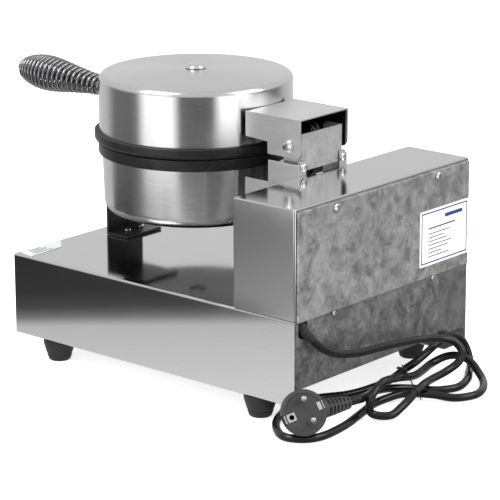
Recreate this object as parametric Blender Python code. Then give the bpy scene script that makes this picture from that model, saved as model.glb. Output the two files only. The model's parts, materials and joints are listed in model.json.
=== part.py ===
"""Electric waffle cone maker: a folded stainless base with a rear wiring housing, a
round lower baking head, and a round upper head on a rear hinge with a coiled wire
handle. Units are metres, +Z is up, the operator stands at -Y."""

import math

import bmesh
import bpy
from mathutils import Matrix, Vector

for old in list(bpy.data.objects):
    bpy.data.objects.remove(old, do_unlink=True)

MM = 0.001
GAP = 0.3 * MM  # clearance between neighbouring pieces

# ---- driving dimensions -------------------------------------------------------------
SHEET = 1.2 * MM
BASE_W = 240 * MM
BASE_D = 328 * MM
BASE_TOP = 95 * MM  # height of the base top above the table
SIDE_BOTTOM = 20.5 * MM  # lower edge of the base sides
REAR = 216.5 * MM  # plane of the base's rear face
FRONT = REAR - BASE_D
PANEL_BOTTOM = 35.5 * MM  # lower edge of the rear panel
HOUSING_D = 67 * MM
HOUSING_TOP = 190.5 * MM

HEAD_Y = REAR - 213.7 * MM  # axis of both baking heads
UPPER_R = 87 * MM
UPPER_TOP = 258 * MM
CROWN = 3.4 * MM
UPPER_PLATE_R = 91.2 * MM
PLATE_SPLIT = 197.6 * MM  # height where the two plates meet
LOWER_PLATE_R = 88 * MM
LOWER_R = 84.5 * MM
LOWER_BOTTOM = 133.7 * MM

PIVOT_Y = REAR - 79.5 * MM
PIVOT_Z = 215.5 * MM
BRACKET_W = 65 * MM  # outer width of the lid bracket
POST_W = 55 * MM  # outer width of the hinge post

FOOT_X = 105 * MM
FOOT_REAR = REAR - 49.7 * MM
FOOT_FRONT = FRONT + 40 * MM

HANDLE_TIP = REAR - 433.2 * MM
HANDLE_RISE = math.radians(2.2)
HANDLE_Z = 228.3 * MM  # height of the handle's axis at the upper head's front

KNOB = Vector((3 * MM, FRONT, 67 * MM))
ROCKER = Vector((84 * MM, FRONT, 62 * MM))
LAMP_X = (-58 * MM, -84 * MM)
LAMP_Z = 67 * MM

# ---- materials ----------------------------------------------------------------------


def material(name, colour, roughness, metallic):
    found = bpy.data.materials.new(name)
    found.use_nodes = True
    shader = found.node_tree.nodes["Principled BSDF"]
    shader.inputs["Base Color"].default_value = (*colour, 1)
    shader.inputs["Roughness"].default_value = roughness
    shader.inputs["Metallic"].default_value = metallic
    found.diffuse_color = (*colour, 1)
    return found


STEEL = material("brushed_stainless", (0.62, 0.62, 0.63), 0.28, 1.0)
GALVANISED = material("galvanised_sheet", (0.45, 0.46, 0.47), 0.45, 1.0)
CHROME = material("chrome_wire", (0.75, 0.75, 0.76), 0.12, 1.0)
IRON = material("cast_iron", (0.035, 0.035, 0.037), 0.5, 0.6)
BLACK_PAINT = material("black_paint", (0.02, 0.02, 0.02), 0.45, 0.0)
RUBBER = material("black_rubber", (0.018, 0.018, 0.02), 0.6, 0.0)
PVC = material("black_pvc", (0.02, 0.02, 0.022), 0.35, 0.0)
PLASTIC = material("black_plastic", (0.025, 0.025, 0.028), 0.4, 0.0)
BRASS = material("nickel_brass", (0.72, 0.68, 0.6), 0.3, 1.0)
WHITE = material("label_film", (0.85, 0.86, 0.87), 0.5, 0.0)
FIBRE = material("ceramic_fibre", (0.82, 0.8, 0.74), 0.9, 0.0)
AMBER = material("amber_lens", (0.8, 0.35, 0.05), 0.2, 0.0)
GREEN = material("green_lens", (0.1, 0.55, 0.15), 0.2, 0.0)

# ---- helpers ------------------------------------------------------------------------


def link(name, bm, mat, smooth=False):
    bmesh.ops.recalc_face_normals(bm, faces=bm.faces)
    mesh = bpy.data.meshes.new(name)
    bm.to_mesh(mesh)
    bm.free()
    obj = bpy.data.objects.new(name, mesh)
    bpy.context.scene.collection.objects.link(obj)
    if mat:
        mesh.materials.append(mat)
    if smooth:
        mesh.shade_smooth()
        mesh.set_sharp_from_angle(angle=math.radians(40))
    return obj


def helper(obj):
    """Marks a cutter, which is not a piece of the machine."""
    obj.hide_render = True
    obj.display_type = "WIRE"
    return obj


def add_prism(bm, outline, axis, low, high):
    """Adds a closed prism: outline is in the two other axes, in the order X, Y, Z."""

    def at(pair, level):
        u, v = pair
        return {"X": (level, u, v), "Y": (u, level, v), "Z": (u, v, level)}[axis]

    verts = [bm.verts.new(at(pair, low)) for pair in outline]
    face = bm.faces.new(verts)
    grown = bmesh.ops.extrude_face_region(bm, geom=[face])
    shift = Vector(at((0, 0), high - low))
    moved = [v for v in grown["geom"] if isinstance(v, bmesh.types.BMVert)]
    bmesh.ops.translate(bm, verts=moved, vec=shift)


def prism(name, outline, axis, low, high, mat, smooth=False):
    bm = bmesh.new()
    add_prism(bm, outline, axis, low, high)
    return link(name, bm, mat, smooth)


def rectangle(u0, u1, v0, v1):
    return [(u0, v0), (u1, v0), (u1, v1), (u0, v1)]


def box(name, x, y, z, mat):
    return prism(name, rectangle(*x, *y), "Z", z[0], z[1], mat)


def arc(centre, radius, start, end, steps):
    """Points from angle start to end, in degrees."""
    return [
        (
            centre[0] + radius * math.cos(math.radians(start + (end - start) * k / steps)),
            centre[1] + radius * math.sin(math.radians(start + (end - start) * k / steps)),
        )
        for k in range(steps + 1)
    ]


def turned(name, profile, origin, direction, steps, mat, closed=False):
    """Spins (radius, height) points about direction through origin. A closed profile
    is a ring. An open one starts and ends on the axis."""
    bm = bmesh.new()
    verts = [bm.verts.new((r, 0, h)) for r, h in profile]
    edges = [bm.edges.new(pair) for pair in zip(verts, verts[1:])]
    if closed:
        edges.append(bm.edges.new((verts[-1], verts[0])))
    bmesh.ops.spin(
        bm,
        geom=verts + edges,
        cent=(0, 0, 0),
        axis=(0, 0, 1),
        angle=2 * math.pi,
        steps=steps,
        use_merge=True,
    )
    bmesh.ops.remove_doubles(bm, verts=bm.verts, dist=1e-6)
    turn = Vector((0, 0, 1)).rotation_difference(Vector(direction)).to_matrix().to_4x4()
    bmesh.ops.transform(bm, matrix=Matrix.Translation(origin) @ turn, verts=bm.verts)
    return link(name, bm, mat, True)


def cut(obj, cutter, operation="DIFFERENCE"):
    tool = obj.modifiers.new(cutter.name, "BOOLEAN")
    tool.operation = operation
    tool.object = helper(cutter)
    return obj


def cylinders(name, items, sides=16):
    """One cutter of several separate cylinders: (centre, direction, radius, length)."""
    bm = bmesh.new()
    for centre, direction, radius, length in items:
        turn = Vector((0, 0, 1)).rotation_difference(Vector(direction)).to_matrix()
        bmesh.ops.create_cone(
            bm,
            cap_ends=True,
            segments=sides,
            radius1=radius,
            radius2=radius,
            depth=length,
            matrix=Matrix.Translation(centre) @ turn.to_4x4(),
        )
    return link(name, bm, None)


def boxes(name, items):
    """One cutter of several separate boxes: (x range, y range, z range)."""
    bm = bmesh.new()
    for x, y, z in items:
        add_prism(bm, rectangle(*x, *y), "Z", z[0], z[1])
    return link(name, bm, None)


def tube(name, points, radius, sides_level, mat):
    """A round cord through the points, with flat filled ends."""
    curve = bpy.data.curves.new(name, "CURVE")
    curve.dimensions = "3D"
    curve.bevel_depth = radius
    curve.bevel_resolution = sides_level
    curve.use_fill_caps = True
    spline = curve.splines.new("POLY")
    spline.points.add(len(points) - 1)
    for point, place in zip(spline.points, points):
        point.co = (*place, 1)
    obj = bpy.data.objects.new(name, curve)
    bpy.context.scene.collection.objects.link(obj)
    curve.materials.append(mat)
    return obj


def smooth_route(route, step):
    """Points about one step apart along a Catmull-Rom curve through the route."""
    route = [Vector(p) for p in route]
    fine = []
    for i in range(len(route) - 1):
        a = route[i - 1] if i else route[0] * 2 - route[1]
        b, c = route[i], route[i + 1]
        d = route[i + 2] if i + 2 < len(route) else c * 2 - b
        # centripetal spacing, which neither loops nor overshoots
        t0 = 0.0
        t1 = t0 + (b - a).length ** 0.5
        t2 = t1 + (c - b).length ** 0.5
        t3 = t2 + (d - c).length ** 0.5
        for k in range(24):
            t = t1 + (t2 - t1) * k / 24
            a1 = a * ((t1 - t) / (t1 - t0)) + b * ((t - t0) / (t1 - t0))
            a2 = b * ((t2 - t) / (t2 - t1)) + c * ((t - t1) / (t2 - t1))
            a3 = c * ((t3 - t) / (t3 - t2)) + d * ((t - t2) / (t3 - t2))
            b1 = a1 * ((t2 - t) / (t2 - t0)) + a2 * ((t - t0) / (t2 - t0))
            b2 = a2 * ((t3 - t) / (t3 - t1)) + a3 * ((t - t1) / (t3 - t1))
            fine.append(b1 * ((t2 - t) / (t2 - t1)) + b2 * ((t - t1) / (t2 - t1)))
    fine.append(route[-1])
    total = sum((q - p).length for p, q in zip(fine, fine[1:]))
    count = max(2, round(total / step))
    out, walked, target = [fine[0]], 0.0, total / count
    for p, q in zip(fine, fine[1:]):
        length = (q - p).length
        while walked + length >= target and len(out) < count:
            out.append(p.lerp(q, (target - walked) / length))
            target += total / count
        walked += length
    out.append(fine[-1])
    return out


def screw(name, seat, direction, head_r, head_h, shank_r, shank_l, mat=CHROME):
    """A domed screw whose head stands a gap above the seat it is driven into."""
    profile = [(0, -shank_l), (shank_r, -shank_l), (shank_r, GAP), (head_r, GAP)]
    profile += [
        (head_r * math.cos(a), GAP + head_h * math.sin(a))
        for a in (math.radians(v) for v in (25, 50, 72))
    ]
    profile += [(0, GAP + head_h)]
    return turned(name, profile, seat, direction, 12, mat)


# ---- base ---------------------------------------------------------------------------
half = BASE_W / 2
bend = 2 * MM
flange = 32 * MM


def folded_section():
    """Section of the base shell across X: two sides, a top and two bottom returns."""

    def path(inset):
        w = half - inset
        r = bend - inset
        low, high = SIDE_BOTTOM + inset, BASE_TOP - inset
        right = [(half - flange, low)]
        right += arc((w - r, low + r), r, -90, 0, 4)
        right += arc((w - r, high - r), r, 0, 90, 4)
        return right + [(-x, z) for x, z in reversed(right)]

    return path(0) + list(reversed(path(SHEET)))


base_shell = prism("base_shell", folded_section(), "Y", FRONT, REAR, STEEL, True)
side_return = box(
    "side_return_tool",
    (-half + 0.4 * MM, -79 * MM),
    (REAR - SHEET, REAR),
    (PANEL_BOTTOM, BASE_TOP - 0.4 * MM),
    None,
)
cut(base_shell, side_return, "UNION")
EXIT_X = 109.5 * MM
bracket_screws = [Vector((sx * MM, REAR - sy * MM, BASE_TOP)) for sx, sy in ((4, 297), (-14, 297))]
post_feet = [Vector((sx * MM, REAR - 84 * MM, BASE_TOP)) for sx in (-24, 24)]
feet_at = [
    (name, sx * FOOT_X, y)
    for name, sx, y in (
        ("front_left", -1, FOOT_FRONT),
        ("front_right", 1, FOOT_FRONT),
        ("rear_left", -1, FOOT_REAR),
        ("rear_right", 1, FOOT_REAR),
    )
]
drilled = [(p, (0, 0, 1), 2.4 * MM, 8 * MM) for p in bracket_screws + post_feet]
drilled += [
    ((x, y, SIDE_BOTTOM), (0, 0, 1), 3.2 * MM, 8 * MM) for _, x, y in feet_at
]
cut(base_shell, cylinders("base_hole_tool", drilled, 12))
cut(
    base_shell,
    boxes(
        "base_slot_tool",
        [
            # where the mains lead passes into the rear housing
            (
                (EXIT_X - 6 * MM, EXIT_X + 6 * MM),
                (REAR - 16 * MM, REAR + 2 * MM),
                (BASE_TOP - 6 * MM, BASE_TOP + 2 * MM),
            ),
            # where the wiring rises into the housing
            (
                (-50 * MM, 50 * MM),
                (REAR - 52 * MM, REAR - 30 * MM),
                (BASE_TOP - 6 * MM, BASE_TOP + 2 * MM),
            ),
            # where the wiring rises into the hinge bracket
            (
                (-14 * MM, 14 * MM),
                (REAR - 118 * MM, REAR - 98 * MM),
                (BASE_TOP - 6 * MM, BASE_TOP + 2 * MM),
            ),
        ],
    ),
)

front_panel = box(
    "front_panel",
    (-half + SHEET + GAP, half - SHEET - GAP),
    (FRONT + 0.4 * MM, FRONT + 0.4 * MM + SHEET),
    (SIDE_BOTTOM + SHEET + GAP, BASE_TOP - SHEET - GAP),
    STEEL,
)
panel_holes = [(KNOB, (0, 1, 0), 4 * MM, 10 * MM)]
panel_holes += [((x, FRONT, LAMP_Z), (0, 1, 0), 4.6 * MM, 10 * MM) for x in LAMP_X]
cut(front_panel, cylinders("panel_hole_tool", panel_holes, 20))
cut(
    front_panel,
    boxes(
        "panel_window_tool",
        [
            (
                (ROCKER.x - 9.5 * MM, ROCKER.x + 9.5 * MM),
                (FRONT - 3 * MM, FRONT + 5 * MM),
                (ROCKER.z - 12.5 * MM, ROCKER.z + 12.5 * MM),
            )
        ],
    ),
)

# rear panel with an open notch for the mains lead in its upper edge
notch = [(EXIT_X + 5.8 * MM, BASE_TOP - SHEET - GAP)]
notch += arc((EXIT_X, 84.5 * MM), 5.8 * MM, 0, -180, 8)
notch += [(EXIT_X - 5.8 * MM, BASE_TOP - SHEET - GAP)]
panel_outline = [
    (-79 * MM + GAP, BASE_TOP - SHEET - GAP),
    (-79 * MM + GAP, PANEL_BOTTOM),
    (half - SHEET - GAP, PANEL_BOTTOM),
    (half - SHEET - GAP, BASE_TOP - SHEET - GAP),
] + notch
lower_rear_panel = prism(
    "lower_rear_panel", panel_outline, "Y", REAR - SHEET, REAR, GALVANISED
)
lower_screws = [Vector((sx * MM, REAR, 91.2 * MM)) for sx in (69, -69)]
cut(
    lower_rear_panel,
    cylinders("rear_hole_tool", [(p, (0, 1, 0), 2 * MM, 8 * MM) for p in lower_screws], 12),
)
for name, p in zip(("right", "left"), lower_screws):
    screw("panel_screw_" + name, p, (0, 1, 0), 2.8 * MM, 1.6 * MM, 1.7 * MM, 6 * MM)

box(
    "bottom_tray",
    (-half + SHEET + GAP, half - SHEET - GAP),
    (FRONT + 2.2 * MM, REAR - SHEET - GAP),
    (PANEL_BOTTOM + 0.6 * MM, PANEL_BOTTOM + 0.6 * MM + SHEET),
    GALVANISED,
)

for name, x, y in feet_at:
    top = SIDE_BOTTOM - GAP
    profile = [(0, 0), (8.6 * MM, 0), (9.8 * MM, 0.9 * MM), (11.6 * MM, 6 * MM)]
    profile += [(14.4 * MM, 16.5 * MM), (14.4 * MM, top), (2.8 * MM, top)]
    profile += [(2.8 * MM, top + 5 * MM), (0, top + 5 * MM)]
    turned("foot_" + name, profile, (x, y, 0), (0, 0, 1), 20, RUBBER)

# ---- rear housing -------------------------------------------------------------------
bm = bmesh.new()
add_prism(
    bm,
    rectangle(-half, half, REAR - HOUSING_D, REAR),
    "Z",
    BASE_TOP + GAP,
    HOUSING_TOP,
)
bm.edges.ensure_lookup_table()
upright = [
    e
    for e in bm.edges
    if abs(e.verts[0].co.z - e.verts[1].co.z) > 0.01 and e.verts[0].co.y > REAR - 0.01
]
crest = [
    e
    for e in bm.edges
    if (min(v.co.z for v in e.verts) > HOUSING_TOP - 0.001)
    or (abs(e.verts[0].co.z - e.verts[1].co.z) > 0.01 and e not in upright)
]
bmesh.ops.bevel(
    bm, geom=upright + crest, offset=1.6 * MM, offset_type="OFFSET", segments=3, profile=0.5,
    affect="EDGES",
)
rear_housing = link("rear_housing", bm, STEEL, True)
cut(
    rear_housing,
    boxes(
        "housing_room_tool",
        [
            (
                (-half + SHEET, half - SHEET),
                (REAR - HOUSING_D + SHEET, REAR - SHEET),
                (BASE_TOP - 5 * MM, HOUSING_TOP - SHEET),
            )
        ],
    ),
)
cut(
    rear_housing,
    boxes(
        "housing_back_tool",
        [
            (
                (-half + 4.4 * MM, half - 4.4 * MM),
                (REAR - 6 * MM, REAR + 5 * MM),
                (BASE_TOP - 5 * MM, HOUSING_TOP - 12 * MM),
            )
        ],
    ),
)
cover_screws = [Vector((sx * MM, REAR + 2.3 * MM, 182.5 * MM)) for sx in (69, -72)]
cut(
    rear_housing,
    cylinders("housing_hole_tool", [(p, (0, 1, 0), 2 * MM, 16 * MM) for p in cover_screws], 12),
)

# cover plate with a shallow folded rim on three sides
COVER_LOW, COVER_HIGH, COVER_HALF = 94.3 * MM, 187.8 * MM, 118 * MM
rear_cover = box(
    "rear_cover_plate",
    (-COVER_HALF, COVER_HALF),
    (REAR + GAP, REAR + 2.3 * MM),
    (COVER_LOW, COVER_HIGH),
    GALVANISED,
)
cut(
    rear_cover,
    boxes(
        "cover_room_tool",
        [
            (
                (-COVER_HALF + 1 * MM, COVER_HALF - 1 * MM),
                (REAR - 3 * MM, REAR + 1.3 * MM),
                (COVER_LOW - 5 * MM, COVER_HIGH - 1 * MM),
            )
        ],
    ),
)
cut(
    rear_cover,
    cylinders("cover_hole_tool", [(p, (0, 1, 0), 2 * MM, 8 * MM) for p in cover_screws], 12),
)
for name, p in zip(("right", "left"), cover_screws):
    screw("cover_screw_" + name, p, (0, 1, 0), 4.3 * MM, 2.4 * MM, 1.7 * MM, 8 * MM)

box(
    "rating_label",
    (-117 * MM, -46.5 * MM),
    (REAR + 2.3 * MM + GAP, REAR + 2.3 * MM + GAP + 0.2 * MM),
    (105 * MM, 154.8 * MM),
    WHITE,
)
prism(
    "control_sticker",
    [(114 * MM, FRONT + 1.5 * MM), (118 * MM, FRONT + 20 * MM), (78 * MM, FRONT + 18 * MM), (62 * MM, FRONT + 1.5 * MM)],
    "Z",
    BASE_TOP + GAP,
    BASE_TOP + GAP + 0.2 * MM,
    WHITE,
)

# ---- lower baking head --------------------------------------------------------------
head = Vector((0, HEAD_Y, 0))


def casing_profile(radius_rim, radius_base, rim, base, corner, crown, bore):
    """Closed ring section of a spun cup. base is the closed end and may lie above or
    below the rim."""
    sign = 1 if base > rim else -1

    def side(inset):
        r, b = corner - inset, base - sign * inset
        pts = [(radius_rim - inset, rim)]
        pts += [
            (
                radius_base - corner + r * math.cos(math.radians(a)),
                base - sign * corner + sign * r * math.sin(math.radians(a)),
            )
            for a in (0, 22.5, 45, 67.5, 90)
        ]
        flat = radius_base - corner
        for share in (0.66, 0.33):
            rr = bore + (flat - bore) * share
            pts.append((rr, b + sign * crown * (1 - (rr / flat) ** 2)))
        pts.append((bore, b + sign * crown * (1 - (bore / flat) ** 2)))
        return pts

    return side(0) + list(reversed(side(SHEET)))


turned(
    "lower_casing",
    casing_profile(LOWER_R, 83.2 * MM, 186.7 * MM, LOWER_BOTTOM, 10 * MM, 0, 8 * MM),
    head,
    (0, 0, 1),
    48,
    STEEL,
    True,
)
low_plate_bottom = 187 * MM
turned(
    "lower_plate",
    [
        (0, PLATE_SPLIT - GAP - 1.5 * MM),
        (86.2 * MM, PLATE_SPLIT - GAP - 1.5 * MM),
        (86.6 * MM, PLATE_SPLIT - GAP),
        (LOWER_PLATE_R - 0.6 * MM, PLATE_SPLIT - GAP),
        (LOWER_PLATE_R, PLATE_SPLIT - GAP - 0.6 * MM),
        (LOWER_PLATE_R - 0.4 * MM, low_plate_bottom),
        (82.4 * MM, low_plate_bottom),
        (82.4 * MM, low_plate_bottom - 5 * MM),
        (0, low_plate_bottom - 5 * MM),
    ],
    head,
    (0, 0, 1),
    48,
    IRON,
)


def heater(name, height):
    """A tubular ring element."""
    ring = [
        (58 * MM + 4 * MM * math.cos(a), height + 4 * MM * math.sin(a))
        for a in (2 * math.pi * k / 8 for k in range(8))
    ]
    turned(name, ring, head, (0, 0, 1), 32, GALVANISED, True)


heater("lower_heater", low_plate_bottom - 5 * MM - GAP - 4 * MM)
turned(
    "lower_insulation",
    [(0, 136 * MM), (71 * MM, 136 * MM), (77 * MM, 139.5 * MM), (80 * MM, 147 * MM), (80 * MM, 172.5 * MM), (0, 172.5 * MM)],
    head,
    (0, 0, 1),
    32,
    FIBRE,
)
# thermostat sensing bulb clamped in the middle of the lower plate
turned(
    "thermostat_bulb",
    [(0, 0), (3 * MM, 0), (3 * MM, 60 * MM), (0, 60 * MM)],
    (0, HEAD_Y - 30 * MM, low_plate_bottom - 5 * MM - GAP - 3 * MM),
    (0, 1, 0),
    12,
    BRASS,
)

# front support: a black Z-shaped bracket between the base top and the casing bottom
FB_X0, FB_X1 = -26 * MM, 20 * MM
fb_front = REAR - 308 * MM
fb_t = 2.2 * MM
fb_low = BASE_TOP + GAP
fb_high = LOWER_BOTTOM - GAP
front_support = prism(
    "front_support_bracket",
    [
        (fb_front, fb_low),
        (REAR - 282 * MM, fb_low),
        (REAR - 282 * MM, fb_low + fb_t),
        (fb_front + fb_t, fb_low + fb_t),
        (fb_front + fb_t, fb_high - fb_t),
        (REAR - 262 * MM, fb_high - fb_t),
        (REAR - 262 * MM, fb_high),
        (fb_front, fb_high),
    ],
    "X",
    FB_X0,
    FB_X1,
    BLACK_PAINT,
)
slots = [
    ((p.x - 5 * MM, p.x + 5 * MM), (p.y - 2.3 * MM, p.y + 2.3 * MM), (BASE_TOP - 2 * MM, BASE_TOP + 6 * MM))
    for p in bracket_screws
]
cut(front_support, boxes("support_slot_tool", slots))
for name, p in zip(("right", "left"), bracket_screws):
    seat = Vector((p.x, p.y, fb_low + fb_t))
    screw("support_screw_" + name, seat, (0, 0, 1), 3.4 * MM, 1.9 * MM, 1.8 * MM, 7 * MM)

# ---- hinge: lower bracket, post and lid bracket ---------------------------------------
LB = 33 * MM  # outer half width of the lower bracket
lb_rear = REAR - 67.8 * MM
side_outline = [
    (lb_rear, BASE_TOP + GAP),
    (lb_rear, 200.7 * MM),
    (REAR - 102 * MM, 200.7 * MM),
    (REAR - 102 * MM, 181.5 * MM),
    (REAR - 128 * MM, 181.5 * MM),
    (REAR - 128 * MM, BASE_TOP + GAP),
]
lower_bracket = prism(
    "lower_hinge_bracket", side_outline, "X", LB - SHEET, LB, STEEL
)
other_side = prism("bracket_side_tool", side_outline, "X", -LB, -LB + SHEET, None)
back_outline = [
    (-LB, BASE_TOP + GAP),
    (LB, BASE_TOP + GAP),
    (LB, 199.5 * MM),
    (31 * MM, 199.5 * MM),
    (31 * MM, 203.2 * MM),
    (22.8 * MM, 203.2 * MM),
    (22.8 * MM, 186 * MM),
    (-22.8 * MM, 186 * MM),
    (-22.8 * MM, 203.2 * MM),
    (-31 * MM, 203.2 * MM),
    (-31 * MM, 199.5 * MM),
    (-LB, 199.5 * MM),
]
bracket_back = prism(
    "bracket_back_tool", back_outline, "Y", lb_rear - SHEET, lb_rear, None
)
bracket_foot = box(
    "bracket_foot_tool",
    (-LB, LB),
    (REAR - 94 * MM, lb_rear),
    (BASE_TOP + GAP, BASE_TOP + GAP + SHEET),
    None,
)
cut(lower_bracket, bracket_back, "UNION")
cut(lower_bracket, bracket_foot, "UNION")
cut(lower_bracket, other_side, "UNION")
post_screws = [Vector((sx * 26.6 * MM, lb_rear, 197.4 * MM)) for sx in (1, -1)]
holes = [(p, (0, 1, 0), 2.2 * MM, 6 * MM) for p in post_screws]
holes += [(p, (0, 0, 1), 2.4 * MM, 8 * MM) for p in post_feet]
cut(lower_bracket, cylinders("bracket_hole_tool", holes, 12))
for name, p in zip(("right", "left"), post_feet):
    seat = Vector((p.x, p.y, BASE_TOP + GAP + SHEET))
    screw("bracket_screw_" + name, seat, (0, 0, 1), 3.6 * MM, 1.9 * MM, 1.8 * MM, 7 * MM)

# the post: a narrow channel with ears behind which the lower bracket is screwed
PH = POST_W / 2
post_rear = lb_rear - SHEET - GAP
post_side = [
    (post_rear, 160 * MM),
    (post_rear, 226.5 * MM),
    (REAR - 86 * MM, 226.5 * MM),
    (REAR - 89 * MM, 223.5 * MM),
    (REAR - 89 * MM, 160 * MM),
]
hinge_post = prism("hinge_post", post_side, "X", PH - 1.4 * MM, PH, GALVANISED)
post_other = prism("post_side_tool", post_side, "X", -PH, -PH + 1.4 * MM, None)
post_web = prism(
    "post_web_tool",
    [
        (-31 * MM, 191 * MM),
        (-22 * MM, 191 * MM),
        (-22 * MM, 194 * MM),
        (22 * MM, 194 * MM),
        (22 * MM, 191 * MM),
        (31 * MM, 191 * MM),
        (31 * MM, 203.2 * MM),
        (PH, 203.2 * MM),
        (PH, 226.5 * MM),
        (-PH, 226.5 * MM),
        (-PH, 203.2 * MM),
        (-31 * MM, 203.2 * MM),
    ],
    "Y",
    post_rear - SHEET,
    post_rear,
    None,
)
cut(hinge_post, post_web, "UNION")
cut(hinge_post, post_other, "UNION")
pins = [Vector((sx * BRACKET_W / 2, PIVOT_Y, PIVOT_Z)) for sx in (1, -1)]
post_holes = [(p, (1, 0, 0), 3.4 * MM, 16 * MM) for p in pins]
post_holes += [(p, (0, 1, 0), 2.2 * MM, 8 * MM) for p in post_screws]
cut(hinge_post, cylinders("post_hole_tool", post_holes, 16))
for name, p in zip(("right", "left"), post_screws):
    screw("post_screw_" + name, p, (0, 1, 0), 4.2 * MM, 2.6 * MM, 1.8 * MM, 3.8 * MM)

BH = BRACKET_W / 2
lid_front = REAR - 126 * MM
lid_rear = REAR - 66.5 * MM
corner_at = (lid_rear - 6 * MM, 211.8 * MM)
flange_outline = [
    (lid_front - 1.8 * MM, 240 * MM),
    (lid_front - 1.8 * MM, 217.8 * MM),
    (REAR - 103 * MM, 216.4 * MM),
    (REAR - 103 * MM, 205.8 * MM),
]
flange_outline += arc(corner_at, 6 * MM, -90, 0, 5)
flange_outline += [(lid_rear, 240 * MM)]
lid_bracket = prism(
    "upper_hinge_bracket", flange_outline, "X", BH - SHEET, BH, STEEL
)
lid_other = prism("lid_side_tool", flange_outline, "X", -BH, -BH + SHEET, None)
lid_top = box(
    "lid_top_tool", (-BH, BH), (lid_front, lid_rear), (240 * MM - SHEET, 240 * MM), None
)
lid_tab = box(
    "lid_tab_tool",
    (-BH, BH),
    (lid_front, lid_front + SHEET),
    (219.5 * MM, 240 * MM),
    None,
)
cut(lid_bracket, lid_top, "UNION")
cut(lid_bracket, lid_tab, "UNION")
cut(lid_bracket, lid_other, "UNION")
lid_holes = [(p, (1, 0, 0), 3.4 * MM, 6 * MM) for p in pins]
lid_holes += [(Vector((0, lid_front, 229.5 * MM)), (0, 1, 0), 6.2 * MM, 8 * MM)]
cut(lid_bracket, cylinders("lid_hole_tool", lid_holes, 16))

# domed pivot pins, one through each pair of flanges
for name, p, way in zip(("right", "left"), pins, (1, -1)):
    profile = [(0, -7.6 * MM), (4.4 * MM, -7.6 * MM), (4.4 * MM, -6.7 * MM), (3 * MM, -6.7 * MM)]
    profile += [(3 * MM, GAP), (6 * MM, GAP), (5.7 * MM, 1.5 * MM), (3.9 * MM, 2.7 * MM), (0, 3.2 * MM)]
    turned("pivot_pin_" + name, profile, p, (way, 0, 0), 16, CHROME)

# ---- upper baking head --------------------------------------------------------------
upper_rim = 207.7 * MM
turned(
    "upper_casing",
    casing_profile(UPPER_R, UPPER_R, upper_rim, UPPER_TOP, 6 * MM, CROWN, 3.4 * MM),
    head,
    (0, 0, 1),
    48,
    STEEL,
    True,
)
turned(
    "upper_plate",
    [
        (0, PLATE_SPLIT + 1.5 * MM),
        (86.2 * MM, PLATE_SPLIT + 1.5 * MM),
        (86.6 * MM, PLATE_SPLIT + GAP),
        (LOWER_PLATE_R, PLATE_SPLIT + GAP),
        (UPPER_PLATE_R - 0.9 * MM, 199.6 * MM),
        (UPPER_PLATE_R, 201.2 * MM),
        (UPPER_PLATE_R, 206.8 * MM),
        (UPPER_PLATE_R - 0.6 * MM, 207.4 * MM),
        (84.6 * MM, 207.4 * MM),
        (84.6 * MM, 213 * MM),
        (0, 213 * MM),
    ],
    head,
    (0, 0, 1),
    48,
    IRON,
)
heater("upper_heater", 213 * MM + GAP + 4 * MM)
turned(
    "upper_insulation",
    [(0, 222 * MM), (83 * MM, 222 * MM), (83 * MM, 246 * MM), (79 * MM, 250 * MM), (0, 250 * MM)],
    head,
    (0, 0, 1),
    32,
    FIBRE,
)
# domed nut at the middle of the lid, with the stud it clamps
crown_top = UPPER_TOP + CROWN
turned(
    "centre_nut",
    [
        (0, 251 * MM),
        (2.6 * MM, 251 * MM),
        (2.6 * MM, crown_top + GAP),
        (9.6 * MM, crown_top + GAP),
        (9.6 * MM, crown_top + 1.2 * MM),
        (8 * MM, crown_top + 2.6 * MM),
        (4.6 * MM, crown_top + 3.8 * MM),
        (0, crown_top + 4.2 * MM),
    ],
    head,
    (0, 0, 1),
    20,
    CHROME,
)

# ---- handle -------------------------------------------------------------------------
handle_root = Vector((0, HEAD_Y - UPPER_R, HANDLE_Z))
handle_way = Vector((0, -math.cos(HANDLE_RISE), math.sin(HANDLE_RISE)))
HANDLE_L = (handle_root.y - HANDLE_TIP) / math.cos(HANDLE_RISE)
turned(
    "handle_boss",
    [(0, 0.5 * MM), (9 * MM, 0.5 * MM), (9 * MM, 3.5 * MM), (6.5 * MM, 5.5 * MM), (0, 5.5 * MM)],
    handle_root,
    handle_way,
    20,
    CHROME,
)
turned(
    "handle_rod",
    [(0, 5.8 * MM), (4 * MM, 5.8 * MM), (4 * MM, HANDLE_L - 8 * MM), (3 * MM, HANDLE_L - 5.4 * MM), (0, HANDLE_L - 5.4 * MM)],
    handle_root,
    handle_way,
    12,
    CHROME,
)
WIRE = 1.75 * MM


def barrel(s):
    """Outer radius of the coil a share s of the way along the handle."""
    knots = [
        (0.0, 9.4), (0.104, 9.6), (0.27, 10.2), (0.436, 12.7), (0.62, 15.9), (0.725, 16.9),
        (0.81, 16.4), (0.89, 14.5), (0.955, 11.6), (0.985, 9.4), (1.0, 7.0),
    ]
    for (s0, r0), (s1, r1) in zip(knots, knots[1:]):
        if s <= s1:
            t = (s - s0) / (s1 - s0)
            t = t * t * (3 - 2 * t) * 0.5 + t * 0.5
            return (r0 + (r1 - r0) * t) * MM
    return knots[-1][1] * MM


TURNS = 22
PER_TURN = 12
across = Vector((1, 0, 0))
upward = handle_way.cross(across) * -1
coil_points = []
start, end = 8.2 * MM, HANDLE_L - WIRE
for k in range(TURNS * PER_TURN + 1):
    share = k / (TURNS * PER_TURN)
    # the pitch closes up towards the tip
    s = share * (1.18 - 0.18 * share)
    radius = barrel(s) - WIRE
    angle = 2 * math.pi * k / PER_TURN
    place = handle_root + handle_way * (start + (end - start) * s)
    coil_points.append(
        place + (across * math.cos(angle) + upward * math.sin(angle)) * radius
    )
tube("handle_coil", coil_points, WIRE, 1, CHROME)

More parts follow.
